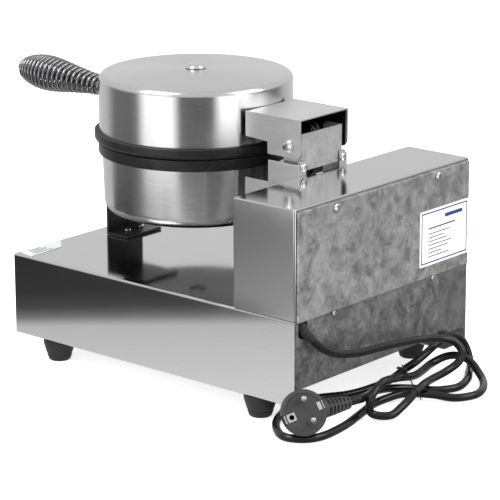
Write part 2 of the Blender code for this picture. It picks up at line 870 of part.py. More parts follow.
# ---- controls -----------------------------------------------------------------------
panel_face = FRONT + 0.4 * MM
turned(
    "thermostat_knob",
    [
        (0, -9 * MM),
        (3 * MM, -9 * MM),
        (3 * MM, 0.8 * MM),
        (21 * MM, 0.8 * MM),
        (21 * MM, 3 * MM),
        (17 * MM, 5 * MM),
        (15.6 * MM, 19 * MM),
        (14.4 * MM, 20.5 * MM),
        (0, 20.5 * MM),
    ],
    (KNOB.x, panel_face, KNOB.z),
    (0, -1, 0),
    32,
    PLASTIC,
)
inside = panel_face + SHEET + GAP
box(
    "thermostat_body",
    (KNOB.x - 20 * MM, KNOB.x + 20 * MM),
    (panel_face + 10 * MM, panel_face + 42 * MM),
    (KNOB.z - 17 * MM, KNOB.z + 17 * MM),
    PLASTIC,
)
for name, x, mat in zip(("power_lamp", "heating_lamp"), LAMP_X, (GREEN, AMBER)):
    turned(
        name,
        [
            (0, -16 * MM),
            (4.2 * MM, -16 * MM),
            (4.2 * MM, GAP),
            (6.2 * MM, GAP),
            (6.2 * MM, 1.6 * MM),
            (4.6 * MM, 2.2 * MM),
            (3.4 * MM, 4.6 * MM),
            (0, 5.6 * MM),
        ],
        (x, panel_face, LAMP_Z),
        (0, -1, 0),
        16,
        mat,
    )
switch = box(
    "power_switch",
    (ROCKER.x - 9.2 * MM, ROCKER.x + 9.2 * MM),
    (panel_face - 2 * MM, panel_face + 22 * MM),
    (ROCKER.z - 12.2 * MM, ROCKER.z + 12.2 * MM),
    PLASTIC,
)
bezel = box(
    "switch_bezel_tool",
    (ROCKER.x - 11 * MM, ROCKER.x + 11 * MM),
    (panel_face - 2.2 * MM, panel_face - GAP),
    (ROCKER.z - 14.5 * MM, ROCKER.z + 14.5 * MM),
    None,
)
cut(switch, bezel, "UNION")
cut(
    switch,
    boxes(
        "switch_room_tool",
        [
            (
                (ROCKER.x - 7 * MM, ROCKER.x + 7 * MM),
                (panel_face - 6 * MM, panel_face + 12 * MM),
                (ROCKER.z - 11 * MM, ROCKER.z + 11 * MM),
            )
        ],
    ),
)
# the rocker tips about an axis along X a little behind the panel face
rocker_axis = panel_face + 3.5 * MM
rocker_outline = [
    (-9.2, -2.2), (0.0, -4.0), (9.2, -5.8), (9.0, 0.2), (3.2, 6.0), (-3.2, 6.0), (-9.0, 2.4),
]
prism(
    "rocker_button",
    [(rocker_axis + dy * MM, ROCKER.z + dz * MM) for dz, dy in rocker_outline],
    "X",
    ROCKER.x - 6.6 * MM,
    ROCKER.x + 6.6 * MM,
    PLASTIC,
)

# ---- electrical parts in the housing ---------------------------------------------------
box("terminal_block", (40 * MM, 88 * MM), (REAR - 42 * MM, REAR - 20 * MM), (96.8 * MM + 10 * MM, 130 * MM), WHITE)
box(
    "heater_relay",
    (-76 * MM, -36 * MM),
    (REAR - 60 * MM, REAR - 25 * MM),
    (110 * MM, 160 * MM),
    PLASTIC,
)

# ---- mains lead ---------------------------------------------------------------------
CORD_R = 3.5 * MM
EXIT_WAY = Vector((0, 0.636, -0.772)).normalized()  # the lead slopes down out of the back
EXIT = Vector((EXIT_X, REAR + 1.8 * MM, 84.9 * MM))


def adaptive(points, turn, longest, shortest):
    """Thins a fine line: a point at every turn of so many degrees or so much length."""
    out, bent, walked = [points[0]], 0.0, 0.0
    for before, here, after in zip(points, points[1:], points[2:]):
        bent += math.degrees((here - before).angle(after - here))
        walked += (here - before).length
        if (bent >= turn and walked >= shortest) or walked >= longest:
            out.append(here)
            bent = walked = 0.0
    if walked < shortest:
        out.pop()
    return out + [points[-1]]


# the way the lead lies behind the machine, in mm: it leaves the rear panel high up,
# crosses behind it, and is folded into a tied bundle of loops on the table
CORD_ROUTE = [
    (109.5, 202.8, 103.6),
    (109.5, 207.9, 97.4),
    (109.5, 213.1, 91.1),
    (109.3, 218.3, 84.9),
    (105.4, 221.9, 78.8),
    (94, 226, 68),
    (80, 228.5, 61),
    (56, 230.5, 56),
    (16, 231, 52.5),
    (-24.5, 230, 47.5),
    (-48, 229, 43),
    (-63.5, 232, 40),
    (-70.5, 236, 38),
    (-74.5, 241.5, 33.5),
    (-75, 246, 27),
    (-70.5, 246, 20.5),
    (-56.5, 242.5, 14),
    (-32.5, 244, 13),
    (-10, 252, 15.5),
    (6, 256.5, 14.5),
    (29.5, 260, 8.5),
    (44.5, 258.5, 4),
    (56, 247.5, 6.5),
    (57.5, 246.5, 13.5),
    (54.5, 246.5, 21),
    (39, 244, 27.5),
    (-0.5, 230.5, 19.5),
    (-31.5, 225.5, 12.5),
    (-62, 214.5, 8.5),
    (-77.5, 210, 8.5),
    (-91, 214.5, 12.5),
    (-95, 221, 14.5),
    (-96, 229, 15.2),
    (-94.5, 237, 14.5),
    (-93.5, 244.5, 11.5),
    (-90.5, 251.5, 8),
    (-82, 263.5, 4),
    (-62, 277.5, 3.8),
    (-46.5, 281.5, 3.8),
    (-31.5, 276, 3.8),
    (-25.5, 270, 4),
    (-17, 256.5, 6),
    (-2, 237.5, 6.5),
    (12.5, 232, 5.4),
    (28.5, 229.5, 4),
    (60, 237.5, 3.8),
    (91, 245, 3.8),
    (123.5, 246, 3.8),
    (137, 237.5, 3.8),
    (141.5, 222.5, 3.8),
    (122, 198, 3.8),
    (85.5, 181, 3.8),
    (61, 179.5, 3.8),
    (46, 184.5, 3.8),
    (25, 197, 3.8),
    (1.5, 203, 4.5),
    (-21.5, 209, 8.5),
    (-35, 214.5, 16),
    (-41, 219, 20.5),
    (-54.5, 221, 26),
    (-78, 221, 33),
    (-93.5, 223, 33.5),
    (-100.5, 225.5, 29.5),
    (-105, 228.5, 21),
    (-105.5, 231.5, 13),
    (-103, 235, 6.5),
    (-95, 239.5, 3.8),
    (-75.5, 251.5, 3.8),
    (-52.5, 258, 3.8),
    (-38, 252, 3.8),
    (-32, 246.5, 3.8),
    (-20.5, 235, 5.8),
    (1, 224.4, 9.2),
    (25, 226.3, 13.2),
    (43, 233.5, 15.8),
    (60, 240.5, 19.2),
    (70.5, 242.6, 21),
    (80.2, 242, 21.5),
]
cord_line = smooth_route([Vector(p) * MM for p in CORD_ROUTE], 0.8 * MM)
cord_line = [Vector((p.x, p.y, max(p.z, CORD_R + GAP))) for p in cord_line]
tube("power_cord", adaptive(cord_line, 24, 30 * MM, 6.5 * MM), CORD_R, 2, PVC)

# wire tie looped round the folded bundle, in mm
TIE_ROUTE = [
    (-17.0, 228.5, 20.5),
    (-14.1, 231.8, 20.0),
    (-11.2, 235.0, 19.6),
    (-8.3, 238.4, 19.3),
    (-5.4, 241.7, 19.1),
    (-2.5, 245.0, 18.8),
    (0.4, 248.3, 18.5),
    (3.3, 251.6, 18.2),
    (6.2, 254.9, 18.1),
    (8.6, 258.8, 17.3),
    (8.3, 261.3, 13.7),
    (5.2, 259.7, 10.8),
    (1.9, 257.5, 8.8),
    (-1.4, 255.4, 6.8),
    (-4.8, 253.4, 4.8),
    (-8.1, 251.3, 2.7),
    (-11.3, 248.9, 1.3),
    (-14.5, 245.7, 1.2),
    (-17.5, 242.5, 1.0),
    (-20.6, 239.4, 0.9),
    (-23.3, 236.1, 1.0),
    (-25.4, 232.6, 2.9),
    (-27.5, 229.1, 4.6),
    (-29.6, 225.6, 6.3),
    (-31.7, 222.1, 8.0),
    (-33.7, 218.5, 9.6),
    (-36.0, 215.0, 11.1),
    (-37.3, 211.6, 13.6),
    (-35.5, 210.4, 17.6),
    (-32.2, 212.4, 19.5),
    (-29.2, 215.8, 19.6),
    (-26.1, 218.9, 19.7),
    (-23.1, 222.1, 19.9),
    (-20.0, 225.3, 20.0),
]
TIE_R = 0.55 * MM
tie = tube("cord_tie", [Vector(p) * MM for p in TIE_ROUTE], TIE_R, 1, PVC)
tie.data.splines[0].use_cyclic_u = True

# strain relief: a rubber sleeve round the lead where it leaves the housing
sleeve_axis = Vector((0, 0.636, -0.772)).normalized()
sleeve_at = Vector((EXIT_X, 207 * MM, 98.5 * MM))
turned(
    "cord_sleeve",
    [(3.85 * MM, 0), (3.85 * MM, 13 * MM), (4.25 * MM, 13 * MM), (4.65 * MM, 9 * MM), (4.65 * MM, 2 * MM), (6.2 * MM, 2 * MM), (6.2 * MM, 0)],
    sleeve_at,
    sleeve_axis,
    20,
    RUBBER,
    True,
)

# the plug lies on its rim behind the machine, its pins towards the rear right
PLUG_FACE = Vector((136.7, 240.9, 27.8)) * MM
PLUG_N = Vector((0.5354, 0.7111, 0.4557)).normalized()
PLUG_X = Vector((-0.8446, 0.4533, 0.2849))
PLUG_X = (PLUG_X - PLUG_N * PLUG_X.dot(PLUG_N)).normalized()
PLUG_Y = PLUG_N.cross(PLUG_X)
plug_back = PLUG_FACE - PLUG_N * 8.5 * MM
BOOT_END = Vector((80.5, 242.0, 21.5)) * MM
BOOT_L = (BOOT_END - plug_back).length
BOOT_WAY = (BOOT_END - plug_back).normalized()
plug = turned(
    "plug_body",
    [
        (0, 0),
        (17.6 * MM, 0),
        (19 * MM, -0.6 * MM),
        (19.5 * MM, -2 * MM),
        (19.5 * MM, -5.5 * MM),
        (16.8 * MM, -8.5 * MM),
        (14 * MM, -14 * MM),
        (11 * MM, -17.4 * MM),
        (6 * MM, -19 * MM),
        (0, -19 * MM),
    ],
    PLUG_FACE,
    PLUG_N,
    32,
    RUBBER,
)
boot = turned(
    "plug_boot_tool",
    [
        (0, 4 * MM),
        (8.4 * MM, 4 * MM),
        (8.4 * MM, 20 * MM),
        (7.6 * MM, 33 * MM),
        (5.6 * MM, BOOT_L - 0.6 * MM),
        (5.1 * MM, BOOT_L),
        (0, BOOT_L),
    ],
    plug_back,
    BOOT_WAY,
    20,
    None,
)
cut(plug, boot, "UNION")
for name, side in (("upper", 1), ("lower", -1)):
    turned(
        "plug_pin_" + name,
        [(0, 0), (2.4 * MM, 0), (2.4 * MM, 17.4 * MM), (1.5 * MM, 19 * MM), (0, 19 * MM)],
        PLUG_FACE + PLUG_N * GAP + PLUG_Y * 9.5 * MM * side,
        PLUG_N,
        16,
        BRASS,
    )
turn = Matrix((PLUG_X, PLUG_Y, PLUG_N)).transposed().to_4x4()
for name, side in (("near", 1), ("far", -1)):
    bm = bmesh.new()
    add_prism(
        bm,
        rectangle(10.4 * MM, 16.6 * MM, -3 * MM, 3 * MM),
        "Z",
        GAP,
        GAP + 0.5 * MM,
    )
    spin = Matrix.Rotation(0 if side > 0 else math.pi, 4, "Z")
    bmesh.ops.transform(bm, matrix=Matrix.Translation(PLUG_FACE) @ turn @ spin, verts=bm.verts)
    link("plug_earth_" + name, bm, BRASS)

# ---- wiring through the hinge ----------------------------------------------------------
WIRING_R = 2.6 * MM
low_wiring = [
    (0, REAR - 108 * MM, BASE_TOP - 12 * MM),
    (0, REAR - 108 * MM, BASE_TOP + 8 * MM),
    (0, REAR - 104 * MM, 130 * MM),
    (0, REAR - 92 * MM, 165 * MM),
    (0, REAR - 81.5 * MM, 195 * MM),
    (0, PIVOT_Y, PIVOT_Z - 3.2 * MM),
]
tube("wiring_base", smooth_route(low_wiring, 8 * MM), WIRING_R, 2, PVC)
high_wiring = [
    (0, PIVOT_Y - 3.4 * MM, PIVOT_Z + 0.8 * MM),
    (0, PIVOT_Y - 10 * MM, PIVOT_Z + 3.2 * MM),
    (0, PIVOT_Y - 18 * MM, PIVOT_Z + 7 * MM),
    (0, PIVOT_Y - 28 * MM, PIVOT_Z + 11.5 * MM),
    (0, HEAD_Y + UPPER_R + GAP, PIVOT_Z + 14 * MM),
]
tube("wiring_lid", smooth_route(high_wiring, 6 * MM), WIRING_R, 2, PVC)


# ---- joint axes -------------------------------------------------------------------------
def hang(name, place, pieces):
    """An empty on a joint's axis, with the pieces that turn about it as its children."""
    axis = bpy.data.objects.new(name, None)
    axis.empty_display_size = 10 * MM
    axis.location = place
    bpy.context.scene.collection.objects.link(axis)
    for piece in pieces:
        obj = bpy.data.objects[piece]
        obj.parent = axis
        obj.matrix_parent_inverse = Matrix.Translation(-Vector(place))


hang(
    "lid_pivot",
    (0, PIVOT_Y, PIVOT_Z),
    [
        "upper_casing",
        "upper_plate",
        "upper_heater",
        "upper_insulation",
        "centre_nut",
        "upper_hinge_bracket",
        "handle_boss",
        "handle_rod",
        "handle_coil",
        "wiring_lid",
        "pivot_pin_left",
        "pivot_pin_right",
    ],
)
hang("knob_axis", (KNOB.x, panel_face, KNOB.z), ["thermostat_knob"])
hang("rocker_axle", (ROCKER.x, rocker_axis, ROCKER.z), ["rocker_button"])
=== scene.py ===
"""Electric waffle cone maker, the looks. Everything is in metres in the row frame: +Z up,
the operator stands at -Y. Lengths below repeat the dimensions of the solid parts."""

import json
import math

import bmesh
import bpy
from mathutils import Matrix, Vector


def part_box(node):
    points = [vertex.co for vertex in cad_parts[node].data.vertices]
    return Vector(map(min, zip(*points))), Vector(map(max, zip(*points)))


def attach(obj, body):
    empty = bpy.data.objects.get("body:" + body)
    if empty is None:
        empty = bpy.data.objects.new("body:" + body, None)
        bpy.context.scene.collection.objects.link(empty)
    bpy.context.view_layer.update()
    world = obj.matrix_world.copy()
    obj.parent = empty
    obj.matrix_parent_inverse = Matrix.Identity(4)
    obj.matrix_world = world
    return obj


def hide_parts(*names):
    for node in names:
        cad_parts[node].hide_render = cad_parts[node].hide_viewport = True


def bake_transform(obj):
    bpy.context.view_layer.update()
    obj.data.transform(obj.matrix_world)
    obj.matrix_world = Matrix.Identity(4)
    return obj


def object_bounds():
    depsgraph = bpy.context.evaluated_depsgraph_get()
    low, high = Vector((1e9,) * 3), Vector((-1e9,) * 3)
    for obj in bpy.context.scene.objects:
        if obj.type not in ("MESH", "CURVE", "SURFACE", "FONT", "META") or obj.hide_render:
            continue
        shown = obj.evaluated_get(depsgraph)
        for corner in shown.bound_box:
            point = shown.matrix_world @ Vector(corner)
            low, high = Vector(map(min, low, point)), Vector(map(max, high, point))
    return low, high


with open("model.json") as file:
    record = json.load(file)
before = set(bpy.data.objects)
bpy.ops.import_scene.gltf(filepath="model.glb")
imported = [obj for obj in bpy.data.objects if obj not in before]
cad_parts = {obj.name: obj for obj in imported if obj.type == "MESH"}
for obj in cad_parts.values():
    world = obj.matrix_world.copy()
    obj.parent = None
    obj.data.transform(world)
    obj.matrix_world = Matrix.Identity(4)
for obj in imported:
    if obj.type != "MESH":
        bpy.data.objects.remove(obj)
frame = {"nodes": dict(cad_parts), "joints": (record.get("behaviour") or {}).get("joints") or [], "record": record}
cad_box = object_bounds()

MM = 0.001
BODY_OF = {n: b for b, ns in frame["record"]["behaviour"]["bodies"].items() for n in ns}
SLOT_OF = {s["node"]: s["material_slot"] for s in frame["record"]["subparts"]}
JOINT = {j["name"]: j for j in frame["joints"]}

base_lo, base_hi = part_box("base_shell")
REAR, FRONT, BASE_TOP = base_hi.y, base_lo.y, base_hi.z
lid_lo, lid_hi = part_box("upper_casing")
HEAD = Vector(((lid_lo.x + lid_hi.x) / 2, (lid_lo.y + lid_hi.y) / 2, 0))
UPPER_R = (lid_hi.x - lid_lo.x) / 2
LOWER_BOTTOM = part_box("lower_casing")[0].z
PIVOT = Vector(JOINT["lid_hinge"]["pos_m"])

# ---------------------------------------------------------------------------------------
# camera
# ---------------------------------------------------------------------------------------
cam_data = bpy.data.cameras.new("camera")
cam_data.lens = 182.3
cam_data.sensor_width = 36
cam_data.clip_end = 60
camera = bpy.data.objects.new("camera", cam_data)
bpy.context.scene.collection.objects.link(camera)
eye = Vector((1.6488, 1.4790, 0.7145))
aim = Vector((-0.02465, 0.04445, 0.095))
back = (eye - aim).normalized()
side = Vector((0, 0, 1)).cross(back).normalized()
lift = back.cross(side)
tilt = math.radians(-0.17)
side, lift = side * math.cos(tilt) + lift * math.sin(tilt), lift * math.cos(tilt) - side * math.sin(tilt)
turned_to = Matrix((side, lift, back)).transposed().to_4x4()
camera.matrix_world = Matrix.Translation(eye) @ turned_to
bpy.context.scene.camera = camera
EYE_TURN = math.atan2(eye.y - aim.y, eye.x - aim.x)

# ---------------------------------------------------------------------------------------
# node helpers
# ---------------------------------------------------------------------------------------


class Build:
    """A node tree under construction."""

    def __init__(self, tree):
        self.tree = tree

    def new(self, kind, settings=None, **inputs):
        node = self.tree.nodes.new(kind)
        for key, value in (settings or {}).items():
            setattr(node, key, value)
        for key, value in inputs.items():
            self.set(node, key.replace("_", " "), value)
        return node

    def set(self, node, key, value):
        socket = node.inputs[int(key) if key.isdigit() else key]
        if isinstance(value, bpy.types.NodeSocket):
            self.tree.links.new(value, socket)
        else:
            socket.default_value = value

    def coords(self):
        return self.new("ShaderNodeTexCoord").outputs["Object"]

    def stretched(self, vector, scale, rotation=(0, 0, 0)):
        return self.new(
            "ShaderNodeMapping", Vector=vector, Scale=scale, Rotation=rotation
        ).outputs[0]

    def noise(self, vector, scale, detail=3.0, rough=0.55, distortion=0.0):
        return self.new(
            "ShaderNodeTexNoise",
            Vector=vector,
            Scale=scale,
            Detail=detail,
            Roughness=rough,
            Distortion=distortion,
        ).outputs[0]

    def range(self, value, a, b, c, d):
        node = self.new("ShaderNodeMapRange", {"clamp": True})
        for key, v in zip(("Value", "From Min", "From Max", "To Min", "To Max"), (value, a, b, c, d)):
            self.set(node, key, v)
        return node.outputs[0]

    def ramp(self, value, stops, smooth=False):
        node = self.new("ShaderNodeValToRGB", Fac=value)
        node.color_ramp.interpolation = "EASE" if smooth else "LINEAR"
        elements = node.color_ramp.elements
        while len(elements) < len(stops):
            elements.new(1)
        for element, (at, level) in zip(elements, stops):
            element.position = at
            colour = level if hasattr(level, "__len__") else (level,) * 3
            element.color = (*colour, 1)
        return node.outputs["Color"]

    def math(self, kind, a, b=0.0, c=0.0):
        node = self.new("ShaderNodeMath", {"operation": kind})
        for i, v in enumerate((a, b, c)):
            self.set(node, str(i), v)
        return node.outputs[0]

    def mix(self, fac, a, b, kind="MIX"):
        node = self.new("ShaderNodeMix", {"data_type": "RGBA", "blend_type": kind})
        node.clamp_factor = True
        for socket, v in ((node.inputs[0], fac), (node.inputs[6], a), (node.inputs[7], b)):
            if isinstance(v, bpy.types.NodeSocket):
                self.tree.links.new(v, socket)
            else:
                socket.default_value = v if not hasattr(v, "__len__") or len(v) == 4 else (*v, 1)
        return node.outputs[2]

    def bump(self, height, strength, distance, normal=None):
        node = self.new("ShaderNodeBump", Height=height, Strength=strength, Distance=distance)
        if normal is not None:
            self.set(node, "Normal", normal)
        return node.outputs[0]


def shader(name, **fixed):
    mat = bpy.data.materials.new(name)
    mat.use_nodes = True
    p = mat.node_tree.nodes["Principled BSDF"]
    for key, value in fixed.items():
        key = key.replace("_", " ")
        p.inputs[key].default_value = value
    return mat, Build(mat.node_tree), p


def link(b, p, key, value):
    b.tree.links.new(value, p.inputs[key])


def grey(v, warm=0.0):
    return (v * (1 + warm), v, v * (1 - warm))


def brushed(name, grain, low, high, rough, spread=0.05, aniso=0.0, tangent=None, bump=0.05, smudge=0.05, stained_behind=None):
    """Steel with a fine grain: grain is the noise scale on each axis."""
    mat, b, p = shader(name, Metallic=1.0, Anisotropic=aniso)
    at = b.coords()
    fine = b.noise(b.stretched(at, grain), 1.0, 4, 0.7)
    broad = b.noise(at, 16, 3, 0.55, 0.6)
    colour = b.mix(b.range(broad, 0.3, 0.7, 0, 0.35), b.ramp(fine, [(0.3, grey(low)), (0.7, grey(high))]), grey((low + high) / 2))
    grainy = b.range(fine, 0.25, 0.75, rough - spread, rough + spread)
    gloss = b.math("ADD", grainy, b.range(broad, 0.35, 0.75, 0, smudge))
    if stained_behind is not None:
        rear = b.math("GREATER_THAN", b.new("ShaderNodeSeparateXYZ", Vector=at).outputs[1], stained_behind)
        cloud = b.noise(at, 72, 6, 0.68, 0.5)
        colour = b.mix(rear, colour, b.ramp(cloud, [(0.4, grey(0.33)), (0.61, grey(0.52))]))
        gloss = b.math("MAXIMUM", gloss, b.math("MULTIPLY", rear, 0.3))
    link(b, p, "Base Color", colour)
    link(b, p, "Roughness", gloss)
    if bump:
        link(b, p, "Normal", b.bump(fine, bump, 0.0002))
    if tangent:
        t = b.new("ShaderNodeTangent", {"direction_type": "RADIAL", "axis": tangent})
        link(b, p, "Tangent", t.outputs[0])
    return mat


def channel_steel(name, low, high, rough):
    """Satin steel with painted shade inside the hinge channel: a near-black colour stands in for the shadow there."""
    mat, b, p = shader(name, Metallic=1.0)
    at = b.coords()
    fine = b.noise(b.stretched(at, (1500, 40, 1500)), 1.0, 4, 0.7)
    broad = b.noise(at, 30, 3, 0.55, 0.6)
    parts = b.new("ShaderNodeSeparateXYZ", Vector=at)
    x, y, z = parts.outputs
    # painted shade: inside the enclosed channel the colour turns near black, fading out lower down
    inside = b.math("LESS_THAN", b.math("ABSOLUTE", x), 31.9 * MM)
    inside = b.math("MULTIPLY", inside, b.math("LESS_THAN", y, REAR - 68.5 * MM))
    inside = b.math("MULTIPLY", inside, b.math("LESS_THAN", z, 239.2 * MM))
    inside = b.math("MULTIPLY", inside, b.range(z, 150 * MM, 184 * MM, 0.12, 1.0))
    face = b.ramp(fine, [(0.3, grey(low)), (0.7, grey(high))])
    stain_and_painted_shade = b.ramp(broad, [(0.3, grey(0.035)), (0.7, grey(0.07))])
    link(b, p, "Base Color", b.mix(inside, face, stain_and_painted_shade))
    link(b, p, "Roughness", b.math("ADD", b.range(fine, 0.25, 0.75, rough - 0.05, rough + 0.05), b.range(broad, 0.35, 0.75, 0, 0.06)))
    link(b, p, "Normal", b.bump(fine, 0.05, 0.0002))
    return mat


def around(name, low, high, rough, aniso):
    """Steel brushed in rings about the heads' upright axis, on top and on the sides."""
    mat, b, p = shader(name, Metallic=1.0, Anisotropic=aniso)
    at = b.coords()
    local = b.new("ShaderNodeVectorMath", {"operation": "SUBTRACT"})
    b.set(local, "0", at)
    b.set(local, "1", HEAD[:])
    parts = b.new("ShaderNodeSeparateXYZ", Vector=local.outputs[0])
    x, y, z = parts.outputs
    far = b.math("SQRT", b.math("ADD", b.math("MULTIPLY", x, x), b.math("MULTIPLY", y, y)))
    turn = b.math("ARCTAN2", y, x)
    rings = b.new("ShaderNodeCombineXYZ", X=b.math("MULTIPLY", far, 2600.0), Y=b.math("MULTIPLY", turn, 5.0), Z=b.math("MULTIPLY", z, 1500.0))
    fine = b.noise(rings.outputs[0], 1.0, 4, 0.7)
    broad = b.noise(at, 22, 3, 0.5, 0.5)
    steel = b.ramp(fine, [(0.28, grey(low)), (0.72, grey(high))])
    # painted shade: the lower casing darkens towards its bottom, standing in for the shadow on its underside
    painted_underside_shade = b.ramp(broad, [(0.35, grey(0.07)), (0.65, grey(0.13))])
    level = b.new("ShaderNodeSeparateXYZ", Vector=at).outputs[2]
    link(b, p, "Base Color", b.mix(b.range(level, LOWER_BOTTOM + 2.0 * MM, LOWER_BOTTOM + 10.5 * MM, 0.0, 1.0), painted_underside_shade, steel))
    grainy = b.range(fine, 0.25, 0.75, rough - 0.035, rough + 0.035)
    link(b, p, "Roughness", b.math("ADD", grainy, b.range(broad, 0.4, 0.75, 0, 0.03)))
    link(b, p, "Normal", b.bump(fine, 0.03, 0.0002))
    p.inputs["Anisotropic Rotation"].default_value = 0.25
    t = b.new("ShaderNodeTangent", {"direction_type": "RADIAL", "axis": "Z"})
    link(b, p, "Tangent", t.outputs[0])
    return mat


def zinc_sheet(name, dark, light, rough, contrast=1.0, metal=0.82):
    """Galvanised sheet: cloudy stains over crystal spangles and rolling marks."""
    mat, b, p = shader(name, Metallic=metal)
    at = b.coords()
    cloud = b.noise(b.stretched(at, (1, 1, 0.8)), 72, 6, 0.68, 0.5)
    cells = b.new("ShaderNodeTexVoronoi", {"feature": "F1"}, Scale=230.0, Randomness=1.0)
    warp = b.new("ShaderNodeVectorMath", {"operation": "ADD"})
    swirl = b.new("ShaderNodeVectorMath", {"operation": "SCALE"})
    b.set(swirl, "0", b.new("ShaderNodeTexNoise", Vector=at, Scale=90.0).outputs["Color"])
    b.set(swirl, "Scale", 0.006)
    b.set(warp, "0", at)
    b.set(warp, "1", swirl.outputs[0])
    b.set(cells, "Vector", warp.outputs[0])
    flakes = b.new("ShaderNodeSeparateColor", Color=cells.outputs["Color"]).outputs[0]
    rolled = b.noise(b.stretched(at, (18, 18, 420)), 1.0, 3, 0.6)
    blot = b.ramp(cloud, [(0.40, grey(dark)), (0.5, grey((dark + light) / 2)), (0.61, grey(light))], True)
    spangle = b.mix(0.26 * contrast, blot, b.ramp(flakes, [(0, grey(dark)), (1, grey(light))]))
    link(b, p, "Base Color", b.mix(0.10, spangle, b.ramp(rolled, [(0.3, grey(dark)), (0.7, grey(light))])))
    r = b.range(cloud, 0.35, 0.65, rough + 0.07, rough - 0.07)
    link(b, p, "Roughness", b.math("ADD", r, b.range(flakes, 0, 1, -0.03, 0.03)))
    link(b, p, "Normal", b.bump(b.math("ADD", flakes, b.math("MULTIPLY", cloud, 2.0)), 0.05, 0.0003))
    return mat


def moulded(name, colour, rough, grain=1800.0, depth=0.12, coat=0.0, speck=0.25, wavy=0.0, shine=0.5):
    """Plastic, rubber or paint: a fine texture with slightly uneven gloss."""
    mat, b, p = shader(name)
    p.inputs["Specular IOR Level"].default_value = shine
    p.inputs["Coat Weight"].default_value = coat
    p.inputs["Coat Roughness"].default_value = 0.12
    at = b.coords()
    fine = b.noise(at, grain, 2, 0.5)
    broad = b.noise(at, 60, 3, 0.55, 0.3)
    bright = tuple(min(1, c * (1 + speck) + 0.002) for c in colour)
    link(b, p, "Base Color", b.mix(b.range(broad, 0.35, 0.7, 0, 1), colour, bright))
    link(b, p, "Roughness", b.math("ADD", b.range(broad, 0.3, 0.7, rough - 0.05, rough + 0.06), b.range(fine, 0.3, 0.7, -0.02, 0.02)))
    height = fine if not wavy else b.math("ADD", fine, b.math("MULTIPLY", broad, wavy))
    link(b, p, "Normal", b.bump(height, depth, 0.0002))
    return mat


def plated(name, colour, rough, metallic=1.0, stain=0.12, scale=140.0):
    mat, b, p = shader(name, Metallic=metallic)
    at = b.coords()
    patch = b.noise(at, scale, 4, 0.6, 0.4)
    fine = b.noise(at, scale * 14, 2, 0.5)
    stain_and_painted_shade = tuple(c * (1 - stain) for c in colour)
    link(b, p, "Base Color", b.mix(b.range(patch, 0.35, 0.7, 0, 1), colour, stain_and_painted_shade))
    link(b, p, "Roughness", b.math("ADD", b.range(patch, 0.3, 0.7, rough - 0.03, rough + 0.06), b.range(fine, 0.3, 0.7, -0.015, 0.015)))
    link(b, p, "Normal", b.bump(fine, 0.03, 0.0001))
    return mat


def lens(name, colour):
    mat, b, p = shader(name, IOR=1.49)
    p.inputs["Transmission Weight"].default_value = 0.35
    at = b.coords()
    cells = b.new("ShaderNodeTexVoronoi", Vector=at, Scale=900.0)
    deep = tuple(c * 0.55 for c in colour)
    link(b, p, "Base Color", b.mix(b.range(cells.outputs["Distance"], 0.1, 0.6, 0, 1), colour, deep))
    link(b, p, "Roughness", b.range(b.noise(at, 500, 2), 0.3, 0.7, 0.08, 0.16))
    link(b, p, "Normal", b.bump(cells.outputs["Distance"], 0.15, 0.0002))
    return mat


